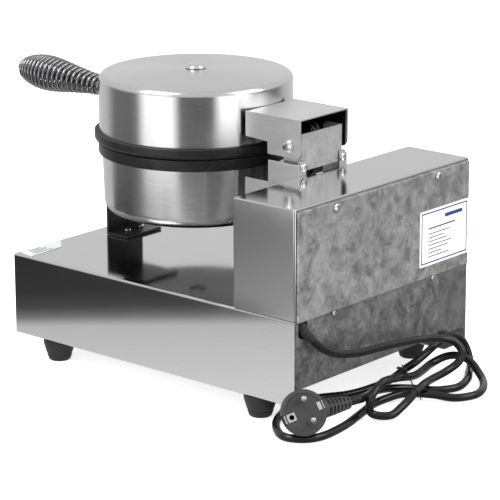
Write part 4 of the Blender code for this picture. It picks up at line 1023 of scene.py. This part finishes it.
# inner parts of the heads
for name, height, body in (("lower", 177.7 * MM, "base"), ("upper", 217.3 * MM, "lid")):
    ring = [(58 * MM + 4 * MM * math.cos(a), height + 4 * MM * math.sin(a)) for a in (2 * math.pi * k / 20 for k in range(20))]
    lathe(f"{name}_heating_element", ring, HEAD, (0, 0, 1), 96, M["sheath"], body, (f"{name}_heater",), True, radius=0)
lathe("lower_fibre_blanket", [(0, 136 * MM), (71 * MM, 136 * MM), (77 * MM, 139.5 * MM), (80 * MM, 147 * MM), (80 * MM, 172.5 * MM), (0, 172.5 * MM)], HEAD, (0, 0, 1), 64, M["fibre"], "base", ("lower_insulation",), radius=1.5 * MM)
lathe("upper_fibre_blanket", [(0, 222 * MM), (83 * MM, 222 * MM), (83 * MM, 246 * MM), (79 * MM, 250 * MM), (0, 250 * MM)], HEAD, (0, 0, 1), 64, M["fibre"], "lid", ("upper_insulation",), radius=1.5 * MM)

# ---------------------------------------------------------------------------------------
# handle
# ---------------------------------------------------------------------------------------
RISE = math.radians(2.2)
HANDLE_TIP = REAR - 433.2 * MM
handle_root = Vector((0, HEAD.y - UPPER_R, 228.3 * MM))
handle_way = Vector((0, -math.cos(RISE), math.sin(RISE)))
HANDLE_L = (handle_root.y - HANDLE_TIP) / math.cos(RISE)
WIRE = 1.75 * MM
lathe("handle_boss_turned", [(0, 0.5 * MM), (9 * MM, 0.5 * MM), (9 * MM, 3.5 * MM), (6.5 * MM, 5.5 * MM), (0, 5.5 * MM)], handle_root, handle_way, 64, M["chrome"], "lid", ("handle_boss",), radius=0.7 * MM)
lathe("handle_rod_turned", [(0, 5.8 * MM), (4 * MM, 5.8 * MM), (4 * MM, HANDLE_L - 8 * MM), (3 * MM, HANDLE_L - 5.4 * MM), (0, HANDLE_L - 5.4 * MM)], handle_root, handle_way, 40, M["chrome"], "lid", ("handle_rod",), radius=0.8 * MM)
KNOTS = [(0.0, 9.4), (0.104, 9.6), (0.27, 10.2), (0.436, 12.7), (0.62, 15.9), (0.725, 16.9), (0.81, 16.4), (0.89, 14.5), (0.955, 11.6), (0.985, 9.4), (1.0, 7.0)]


def barrel(s):
    """Outer radius of the coil a share s of the way along, smoothed."""

    def at(u):
        u = min(1.0, max(0.0, u))
        for (s0, r0), (s1, r1) in zip(KNOTS, KNOTS[1:]):
            if u <= s1:
                return r0 + (r1 - r0) * (u - s0) / (s1 - s0)
        return KNOTS[-1][1]

    return sum(at(s + k * 0.008) for k in range(-3, 4)) / 7 * MM


TURNS, PER_TURN = 22, 44
across = Vector((1, 0, 0))
upward = handle_way.cross(across) * -1
coil = []
start, end = 8.2 * MM, HANDLE_L - WIRE
for k in range(TURNS * PER_TURN + 1):
    share = k / (TURNS * PER_TURN)
    s = share * (1.18 - 0.18 * share)
    radius = barrel(s) - WIRE
    a = 2 * math.pi * k / PER_TURN
    coil.append(handle_root + handle_way * (start + (end - start) * s) + (across * math.cos(a) + upward * math.sin(a)) * radius)
radii = [WIRE] * len(coil)
for k in range(4):
    radii[k] = radii[-1 - k] = WIRE * (0.6, 0.83, 0.94, 0.99)[k]
finished("handle_coil_wound", swept_mesh("handle_coil_wound", coil, radii, 14), M["chrome"], "lid", ("handle_coil",), 60)

# ---------------------------------------------------------------------------------------
# fasteners
# ---------------------------------------------------------------------------------------


def placed(mesh, seat, direction, spin=0.0):
    turn = Vector((0, 0, 1)).rotation_difference(Vector(direction)).to_matrix().to_4x4()
    mesh.transform(Matrix.Translation(seat) @ turn @ Matrix.Rotation(spin, 4, "Z"))
    return mesh


def cross_screw(name, node, seat, direction, head_r, head_h, shank_r, shank_l, spin):
    """A pan head screw with a cross recess."""
    profile = [(0, -shank_l), (shank_r, -shank_l), (shank_r, GAP), (head_r, GAP), (head_r, GAP + 0.25 * head_h)]
    profile += [(head_r * math.cos(a), GAP + head_h * (0.25 + 0.75 * math.sin(a))) for a in (math.radians(v) for v in (18, 36, 54, 72))]
    profile += [(0, GAP + head_h)]
    mesh = lathe_mesh("screw", rounded(profile, 0.25 * MM, False, 3), (0, 0, 0), (0, 0, 1), 48)
    w, l = head_r * 0.13, head_r * 0.56
    depth = GAP + head_h * 0.45
    cross = [prism_mesh("bar", rect(-l, l, -w, w), "Z", depth, 0.02), prism_mesh("bar", rect(-w, w, -l, l), "Z", depth, 0.02)]
    for bar in cross:
        mesh = cut_mesh("screw_cut", mesh, [bar])
    placed(mesh, seat, direction, spin)
    return finished(name, mesh, M["screw"], BODY_OF[node], (node,), 32)


LB_REAR = REAR - 67.8 * MM
for node, seat, way, hr, hh, sr, sl, spin in (
    ("cover_screw_right", (69 * MM, REAR + 2.3 * MM, 182.5 * MM), (0, 1, 0), 4.3 * MM, 2.4 * MM, 1.7 * MM, 8 * MM, 0.3),
    ("cover_screw_left", (-72 * MM, REAR + 2.3 * MM, 182.5 * MM), (0, 1, 0), 4.3 * MM, 2.4 * MM, 1.7 * MM, 8 * MM, 1.0),
    ("panel_screw_right", (69 * MM, REAR, 91.2 * MM), (0, 1, 0), 2.8 * MM, 1.6 * MM, 1.7 * MM, 6 * MM, 0.7),
    ("panel_screw_left", (-69 * MM, REAR, 91.2 * MM), (0, 1, 0), 2.8 * MM, 1.6 * MM, 1.7 * MM, 6 * MM, 0.1),
    ("post_screw_right", (26.6 * MM, LB_REAR, 197.4 * MM), (0, 1, 0), 4.2 * MM, 2.6 * MM, 1.8 * MM, 3.8 * MM, 0.5),
    ("post_screw_left", (-26.6 * MM, LB_REAR, 197.4 * MM), (0, 1, 0), 4.2 * MM, 2.6 * MM, 1.8 * MM, 3.8 * MM, 1.2),
    ("bracket_screw_right", None, (0, 0, 1), 3.6 * MM, 1.9 * MM, 1.9 * MM, 7 * MM, 0.2),
    ("bracket_screw_left", None, (0, 0, 1), 3.6 * MM, 1.9 * MM, 1.9 * MM, 7 * MM, 0.9),
    ("support_screw_right", None, (0, 0, 1), 3.6 * MM, 1.9 * MM, 1.8 * MM, 6 * MM, 0.6),
    ("support_screw_left", None, (0, 0, 1), 3.6 * MM, 1.9 * MM, 1.8 * MM, 6 * MM, 1.3),
):
    low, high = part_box(node)
    if seat is None:  # the head's top and radius come from the solid part
        hr = (high.x - low.x) / 2
        seat = ((low.x + high.x) / 2, (low.y + high.y) / 2, high.z - hh - GAP)
        sl = seat[2] - low.z
    cross_screw(node + "_cross", node, seat, way, hr, hh, sr, sl, spin)

for name, sign in (("right", 1), ("left", -1)):
    profile = [(0, -7.6 * MM), (4.4 * MM, -7.6 * MM), (4.4 * MM, -6.7 * MM), (3 * MM, -6.7 * MM), (3 * MM, GAP), (6 * MM, GAP), (5.8 * MM, 1.1 * MM), (4.9 * MM, 2.1 * MM), (2.9 * MM, 2.9 * MM), (0, 3.2 * MM)]
    lathe(f"pivot_rivet_{name}", profile, (sign * 32.5 * MM, PIVOT.y, PIVOT.z), (sign, 0, 0), 48, M["screw"], "lid", (f"pivot_pin_{name}",), radius=0.5 * MM)

# ---------------------------------------------------------------------------------------
# feet
# ---------------------------------------------------------------------------------------
for name in ("front_left", "front_right", "rear_left", "rear_right"):
    low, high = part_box("foot_" + name)
    x, y = (low.x + high.x) / 2, (low.y + high.y) / 2
    top = 20.2 * MM
    profile = [(0, 0.6 * MM), (3.2 * MM, 0.6 * MM), (4.2 * MM, 0), (8.6 * MM, 0), (9.8 * MM, 0.9 * MM), (11.2 * MM, 5 * MM), (11.0 * MM, 6.2 * MM), (11.8 * MM, 7.4 * MM), (14.2 * MM, 15.5 * MM), (14.4 * MM, 17 * MM), (14.4 * MM, top), (2.8 * MM, top), (2.8 * MM, top + 5 * MM), (0, top + 5 * MM)]
    lathe(f"rubber_foot_{name}", profile, (x, y, 0), (0, 0, 1), 72, M["rubber"], "base", ("foot_" + name,), radius=0.7 * MM)

# ---------------------------------------------------------------------------------------
# rating label and sticker: blank forms with rules, no words
# ---------------------------------------------------------------------------------------
label_y = REAR + 2.6 * MM
x0, x1, z0, z1 = -117 * MM, -46.5 * MM, 105 * MM, 154.8 * MM
finished("label_film", prism_mesh("label_film", rounded(rect(x0, x1, z0, z1), 0.8 * MM, True), "Y", label_y - 0.25 * MM, label_y + 0.12 * MM), M["film"], "base", ("rating_label",), 30)
ink_low, ink_high = label_y + 0.06 * MM, label_y + 0.17 * MM
outer, inner = 2.0 * MM, 3.2 * MM
bars = []
for a, b, c, d in ((x0 + outer, x1 - outer, z0 + outer, z0 + inner), (x0 + outer, x1 - outer, z1 - inner, z1 - outer), (x0 + outer, x0 + inner, z0 + outer, z1 - outer), (x1 - inner, x1 - outer, z0 + outer, z1 - outer)):
    bars.append(prism_mesh("bar", rect(a, b, c, d), "Y", ink_low, ink_high))
bars.append(prism_mesh("bar", rounded(rect(x0 + 9 * MM, x0 + 35 * MM, z1 - 10.5 * MM, z1 - 7.2 * MM), 1.2 * MM, True), "Y", ink_low, ink_high))
finished("label_border", joined("label_border", bars), M["blue"], "base", (), 30)
rules = [prism_mesh("bar", rect(x1 - 51 * MM, x1 - 12 * MM, z1 - 17.4 * MM, z1 - 16.1 * MM), "Y", ink_low, ink_high)]
for k, length in enumerate((31, 22, 27, 34, 29, 19, 30)):
    z = z1 - 21.2 * MM - k * 3.4 * MM
    rules.append(prism_mesh("bar", rect(x1 - (12 + length) * MM, x1 - 12 * MM, z - 0.85 * MM, z), "Y", ink_low, ink_high))
finished("label_rules", joined("label_rules", rules), M["ink"], "base", (), 30)

top = BASE_TOP + 0.3 * MM
sticker = [(114 * MM, FRONT + 1.5 * MM), (118 * MM, FRONT + 20 * MM), (78 * MM, FRONT + 18 * MM), (62 * MM, FRONT + 1.5 * MM)]
finished("sticker_film", prism_mesh("sticker_film", rounded(sticker, 0.8 * MM, True), "Z", top - 0.25 * MM, top + 0.12 * MM), M["film"], "base", ("control_sticker",), 30)
marks = []
for k in range(4):
    y = FRONT + (5 + 3.4 * k) * MM
    marks.append(prism_mesh("bar", rect((92 - 4 * k % 7) * MM, (107 + k) * MM, y, y + 1.2 * MM), "Z", top + 0.06 * MM, top + 0.17 * MM))
finished("sticker_rules", joined("sticker_rules", marks), M["ink"], "base", (), 30)

# ---------------------------------------------------------------------------------------
# controls on the front
# ---------------------------------------------------------------------------------------
PANEL = FRONT + 0.4 * MM
KNOB = Vector((3 * MM, PANEL, 67 * MM))
knob_to = Matrix.Translation(KNOB) @ Vector((0, 0, 1)).rotation_difference(Vector((0, -1, 0))).to_matrix().to_4x4()
skirt = lathe_mesh("skirt", rounded([(0, -9 * MM), (3 * MM, -9 * MM), (3 * MM, 0.8 * MM), (20.8 * MM, 0.8 * MM), (20.8 * MM, 2.2 * MM), (19.6 * MM, 3.0 * MM), (16.2 * MM, 3.4 * MM), (15.2 * MM, 5.4 * MM), (14.6 * MM, 18.6 * MM), (13.6 * MM, 20.2 * MM), (10 * MM, 20.4 * MM), (9.4 * MM, 19.9 * MM), (0, 19.9 * MM)], 0.6 * MM), (0, 0, 0), (0, 0, 1), 96)
flutes = []
for k in range(18):
    a = 2 * math.pi * k / 18 + math.pi / 18
    flutes.append(lathe_mesh("flute", [(0, 6.5 * MM), (1.5 * MM, 6.5 * MM), (1.5 * MM, 24 * MM), (0, 24 * MM)], (15.7 * MM * math.cos(a), 15.7 * MM * math.sin(a), 0), (0, 0, 1), 16))
knob_mesh = cut_mesh("knob_cut", skirt, [joined("flutes", flutes)])
knob_mesh.transform(knob_to)
finished("knob_fluted", knob_mesh, M["plastic"], "knob", ("thermostat_knob",), 32)


def numeral(text, size, at, spin):
    """A number for the dial as a thin solid, centred at a point of the skirt."""
    font = bpy.data.curves.new("numeral", "FONT")
    font.body, font.size, font.extrude = text, size, 0.06 * MM
    font.align_x, font.align_y = "CENTER", "CENTER"
    font.resolution_u = 3
    obj = bpy.data.objects.new("numeral", font)
    bpy.context.scene.collection.objects.link(obj)
    bpy.context.view_layer.update()
    mesh = bpy.data.meshes.new_from_object(obj.evaluated_get(bpy.context.evaluated_depsgraph_get()))
    bpy.data.objects.remove(obj)
    mesh.transform(Matrix.Translation(at) @ Matrix.Rotation(spin, 4, "Z"))
    return mesh


dial = [prism_mesh("line", rect(-0.5 * MM, 0.5 * MM, 9.8 * MM, 13.4 * MM), "Z", 20.1 * MM, 20.5 * MM)]
for k, text in enumerate(("0", "50", "100", "150", "200", "250", "300")):
    a = math.radians(90 - 45 * k)
    spot = Vector((18.2 * MM * math.cos(a), 18.2 * MM * math.sin(a), 3.17 * MM))
    dial.append(numeral(text, 2.6 * MM, spot, a - math.pi / 2))
marks = joined("dial_numbers", dial)
marks.transform(knob_to)
finished("dial_numbers", marks, M["white_mark"], "knob", (), 0)
pointer = prism_mesh("pointer", [(KNOB.x - 1.6 * MM, KNOB.z + 25.2 * MM), (KNOB.x + 1.6 * MM, KNOB.z + 25.2 * MM), (KNOB.x, KNOB.z + 22.0 * MM)], "Y", PANEL - 0.2 * MM, PANEL + 0.2 * MM)
finished("dial_pointer", pointer, M["ink"], "base", (), 30)

for node, x, mat in (("power_lamp", -58 * MM, "green"), ("heating_lamp", -84 * MM, "amber")):
    ring = lathe_mesh("ring", rounded([(4.7 * MM, 0.1 * MM), (6.2 * MM, 0.1 * MM), (6.2 * MM, 1.5 * MM), (5.4 * MM, 2.1 * MM), (4.7 * MM, 1.9 * MM)], 0.3 * MM, True, 3), (x, PANEL, 67 * MM), (0, -1, 0), 64, True)
    finished(node + "_ring", ring, M["screw"], "base", (), 35)
    lathe(node + "_lens", [(0, -16 * MM), (4.2 * MM, -16 * MM), (4.2 * MM, GAP), (4.65 * MM, GAP), (4.65 * MM, 2.2 * MM), (3.9 * MM, 4.0 * MM), (2.4 * MM, 5.2 * MM), (0, 5.6 * MM)], (x, PANEL, 67 * MM), (0, -1, 0), 56, M[mat], "base", (node,), radius=0.6 * MM)

ROCKER = Vector((84 * MM, PANEL + 3.5 * MM, 62 * MM))
rocker_shape = rounded([(-2.2, -9.2), (-4.0, 0.0), (-5.8, 9.2), (0.2, 9.0), (6.0, 3.2), (6.0, -3.2), (2.4, -9.0)], 0.9, True, 4)
rocker_mesh = prism_mesh("rocker", [(ROCKER.y + u * MM, ROCKER.z + v * MM) for u, v in rocker_shape], "X", ROCKER.x - 6.6 * MM, ROCKER.x + 6.6 * MM)
rocker = finished("rocker_moulded", rocker_mesh, M["plastic"], "rocker", ("rocker_button",), 30)
m = rocker.modifiers.new("edges", "BEVEL")
m.width, m.segments, m.limit_method, m.angle_limit = 0.5 * MM, 3, "ANGLE", math.radians(50)
m.harden_normals = True
# a bar and a ring show which end is on
slope = math.atan2(1.8, 9.2)
face_at = Matrix.Translation(ROCKER) @ Matrix.Rotation(-slope, 4, "X")
mark = prism_mesh("mark", rect(-0.35 * MM, 0.35 * MM, 3.4 * MM, 6.6 * MM), "Y", -4.06 * MM, -3.8 * MM)
ring = lathe_mesh("mark", [(1.2 * MM, 0), (1.8 * MM, 0), (1.8 * MM, 0.26 * MM), (1.2 * MM, 0.26 * MM)], (0, -3.8 * MM, -5.0 * MM), (0, -1, 0), 32, True)
marks = joined("rocker_marks", [mark, ring])
marks.transform(face_at)
finished("rocker_marks", marks, M["white_mark"], "rocker", (), 30)

# ---------------------------------------------------------------------------------------
# wiring that bends through the hinge
# ---------------------------------------------------------------------------------------
replaced = [("wiring_base", "wiring_lid"), (), (), ()]
for k, (dx, dy, dz) in enumerate(((-4.2, 0.0, 0.0), (-1.4, 1.6, 1.4), (1.4, -0.4, -0.6), (4.2, 1.0, 0.8))):
    sway = (2.5, -2.0, 3.0, -2.5)[k]
    route = [
        (dx, REAR / MM - 108 + dy, 84),
        (dx, REAR / MM - 108 + dy, 104),
        (dx + sway * 0.4, REAR / MM - 103 + dy, 132),
        (dx - sway * 0.3, REAR / MM - 92 + dy, 165),
        (dx + sway * 0.5, REAR / MM - 82.5 + dy, 192),
        (dx + sway, REAR / MM - 77 + dy * 0.6, 208),
        (dx + sway * 1.2, REAR / MM - 75.2 + dy * 0.5, 218 + dz),
        (dx + sway * 0.6, REAR / MM - 80 + dy * 0.5, 228.5 + dz),
        (dx, REAR / MM - 92, 232.5 + dz),
        (dx, REAR / MM - 108, 231.0 + dz),
        (dx, REAR / MM - 126.1, 229.5),
    ]
    path = smooth_route([Vector(p) * MM for p in route], 1.0 * MM)
    mesh = swept_mesh(f"head_wire_{k + 1}", path, 1.3 * MM, 14)
    obj = bpy.data.objects.new(f"head_wire_{k + 1}", mesh)
    bpy.context.scene.collection.objects.link(obj)
    mesh.materials.append(M["wire"])
    mesh.shade_smooth()
    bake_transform(obj)
    if replaced[k]:
        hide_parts(*replaced[k])

# ---------------------------------------------------------------------------------------
# studio: a pale floor whose reflections hold painted light and dark zones, and soft lights all round with dark gaps for
# the steel to show
# ---------------------------------------------------------------------------------------


def studio_pattern(b, turn, height):
    """Brightness by direction: turn is the angle from the front of the set, 0 to pi."""
    share = b.math("DIVIDE", b.math("ABSOLUTE", turn), math.pi)
    stops = [
        (0.0, 0.10), (0.105, 0.12), (0.16, 1.9), (0.34, 1.7), (0.40, 0.22), (0.46, 0.16), (0.60, 0.20), (0.70, 0.62), (1.0, 0.80),
    ]
    ring = b.ramp(share, stops)
    high = b.range(height, 0.03, 0.24, 0, 1)
    return b.mix(high, ring, (0.74, 0.74, 0.74, 1))


def angle_from_front(b, x, y):
    raw = b.math("SUBTRACT", b.math("ARCTAN2", y, x), EYE_TURN)
    return b.math("WRAP", raw, math.pi, -math.pi)


world = bpy.data.worlds.new("studio")
world.use_nodes = True
bpy.context.scene.world = world
world.node_tree.nodes.clear()
b = Build(world.node_tree)
way = b.new("ShaderNodeSeparateXYZ", Vector=b.new("ShaderNodeTexCoord").outputs["Generated"])
pattern = studio_pattern(b, angle_from_front(b, way.outputs[0], way.outputs[1]), way.outputs[2])
rays = b.new("ShaderNodeLightPath")
plain = b.new("ShaderNodeBackground", Color=(1, 1, 1, 1), Strength=0.95)
seen = b.new("ShaderNodeBackground", Color=pattern, Strength=1.0)
both = b.new("ShaderNodeMixShader")
b.set(both, "0", rays.outputs["Is Glossy Ray"])
b.set(both, "1", plain.outputs[0])
b.set(both, "2", seen.outputs[0])
out = b.new("ShaderNodeOutputWorld")
b.set(out, "Surface", both.outputs[0])

floor_mesh = prism_mesh("floor", rect(-9, 9, -9, 9), "Z", -0.02, 0)
floor = bpy.data.objects.new("floor", floor_mesh)
bpy.context.scene.collection.objects.link(floor)
paper = bpy.data.materials.new("white_floor_painted_reflections")
paper.use_nodes = True
paper.node_tree.nodes.clear()
b = Build(paper.node_tree)
at = b.new("ShaderNodeSeparateXYZ", Vector=b.coords())
x, y = at.outputs[0], b.math("SUBTRACT", at.outputs[1], 0.05)
turn = angle_from_front(b, x, y)
pattern = studio_pattern(b, turn, 0.0)
far = b.math("SQRT", b.math("ADD", b.math("MULTIPLY", x, x), b.math("MULTIPLY", y, y)))
# painted reflection: to glossy rays the floor shows a dark zone off the front right corner, like a black card, whose
# edge crosses the base's side
across = b.math("SUBTRACT", b.math("MULTIPLY", at.outputs[0], 0.743), b.math("MULTIPLY", at.outputs[1], 0.669))
painted_card_stops = [(0.083, 0.90), (0.25, 0.80), (0.33, 0.75), (0.408, 0.72), (0.458, 0.24), (0.508, 0.09), (0.60, 0.05), (1.0, 0.035)]
near = b.ramp(b.range(across, 0.0, 0.6, 0, 1), painted_card_stops)
elsewhere = b.ramp(b.range(at.outputs[1], 0.0, 0.2, 0, 1), [(0.0, 0.60), (1.0, 0.30)])
near = b.mix(b.range(at.outputs[0], 0.095, 0.125, 0, 1), elsewhere, near)
near = b.mix(b.range(at.outputs[1], 0.19, 0.24, 0, 1), near, (0.31, 0.31, 0.31, 1))
lit = b.mix(b.range(far, 0.58, 0.74, 0, 1), near, pattern)
# painted reflection: a grey zone beside it, like a grey card, which the housing's side shows
strip = b.math("MULTIPLY", b.range(at.outputs[0], 0.362, 0.378, 0, 1), b.range(at.outputs[0], 0.67, 0.73, 1, 0))
strip = b.math("MULTIPLY", strip, b.math("MULTIPLY", b.range(at.outputs[1], -0.36, -0.31, 0, 1), b.range(at.outputs[1], 0.01, 0.04, 1, 0)))
shade = b.ramp(b.range(at.outputs[1], -0.3, 0.0, 0, 1), [(0.0, 0.17), (1.0, 0.44)])
lit = b.mix(strip, lit, shade)
# the floor glows with this painted reflection pattern for glossy rays only; to the camera it is evenly bright
glow = b.new("ShaderNodeEmission", Color=lit, Strength=1.0)
matt = b.new("ShaderNodeBsdfDiffuse", Color=(0.9, 0.9, 0.9, 1))
lift_light = b.new("ShaderNodeEmission", Color=(1, 1, 1, 1), Strength=0.72)
seen = b.new("ShaderNodeAddShader")
b.set(seen, "0", matt.outputs[0])
b.set(seen, "1", lift_light.outputs[0])
rays = b.new("ShaderNodeLightPath")
both = b.new("ShaderNodeMixShader")
b.set(both, "0", rays.outputs["Is Glossy Ray"])
b.set(both, "1", seen.outputs[0])
b.set(both, "2", glow.outputs[0])
out = b.new("ShaderNodeOutputMaterial")
b.set(out, "Surface", both.outputs[0])
floor.data.materials.append(paper)


def area(name, place, towards, size, power):
    data = bpy.data.lights.new(name, "AREA")
    data.shape, data.size, data.energy = "SQUARE", size, power
    obj = bpy.data.objects.new(name, data)
    obj.location = place
    obj.rotation_euler = (Vector(place) - Vector(towards)).to_track_quat("Z", "Y").to_euler()
    bpy.context.scene.collection.objects.link(obj)
    return obj


area("key", (1.3, -0.4, 1.9), (0, 0, 0.1), 1.1, 22)
area("fill", (-0.6, 1.6, 1.4), (0, 0.05, 0.1), 1.2, 12)
bpy.context.scene.view_settings.view_transform = "Standard"

low, high = cad_box
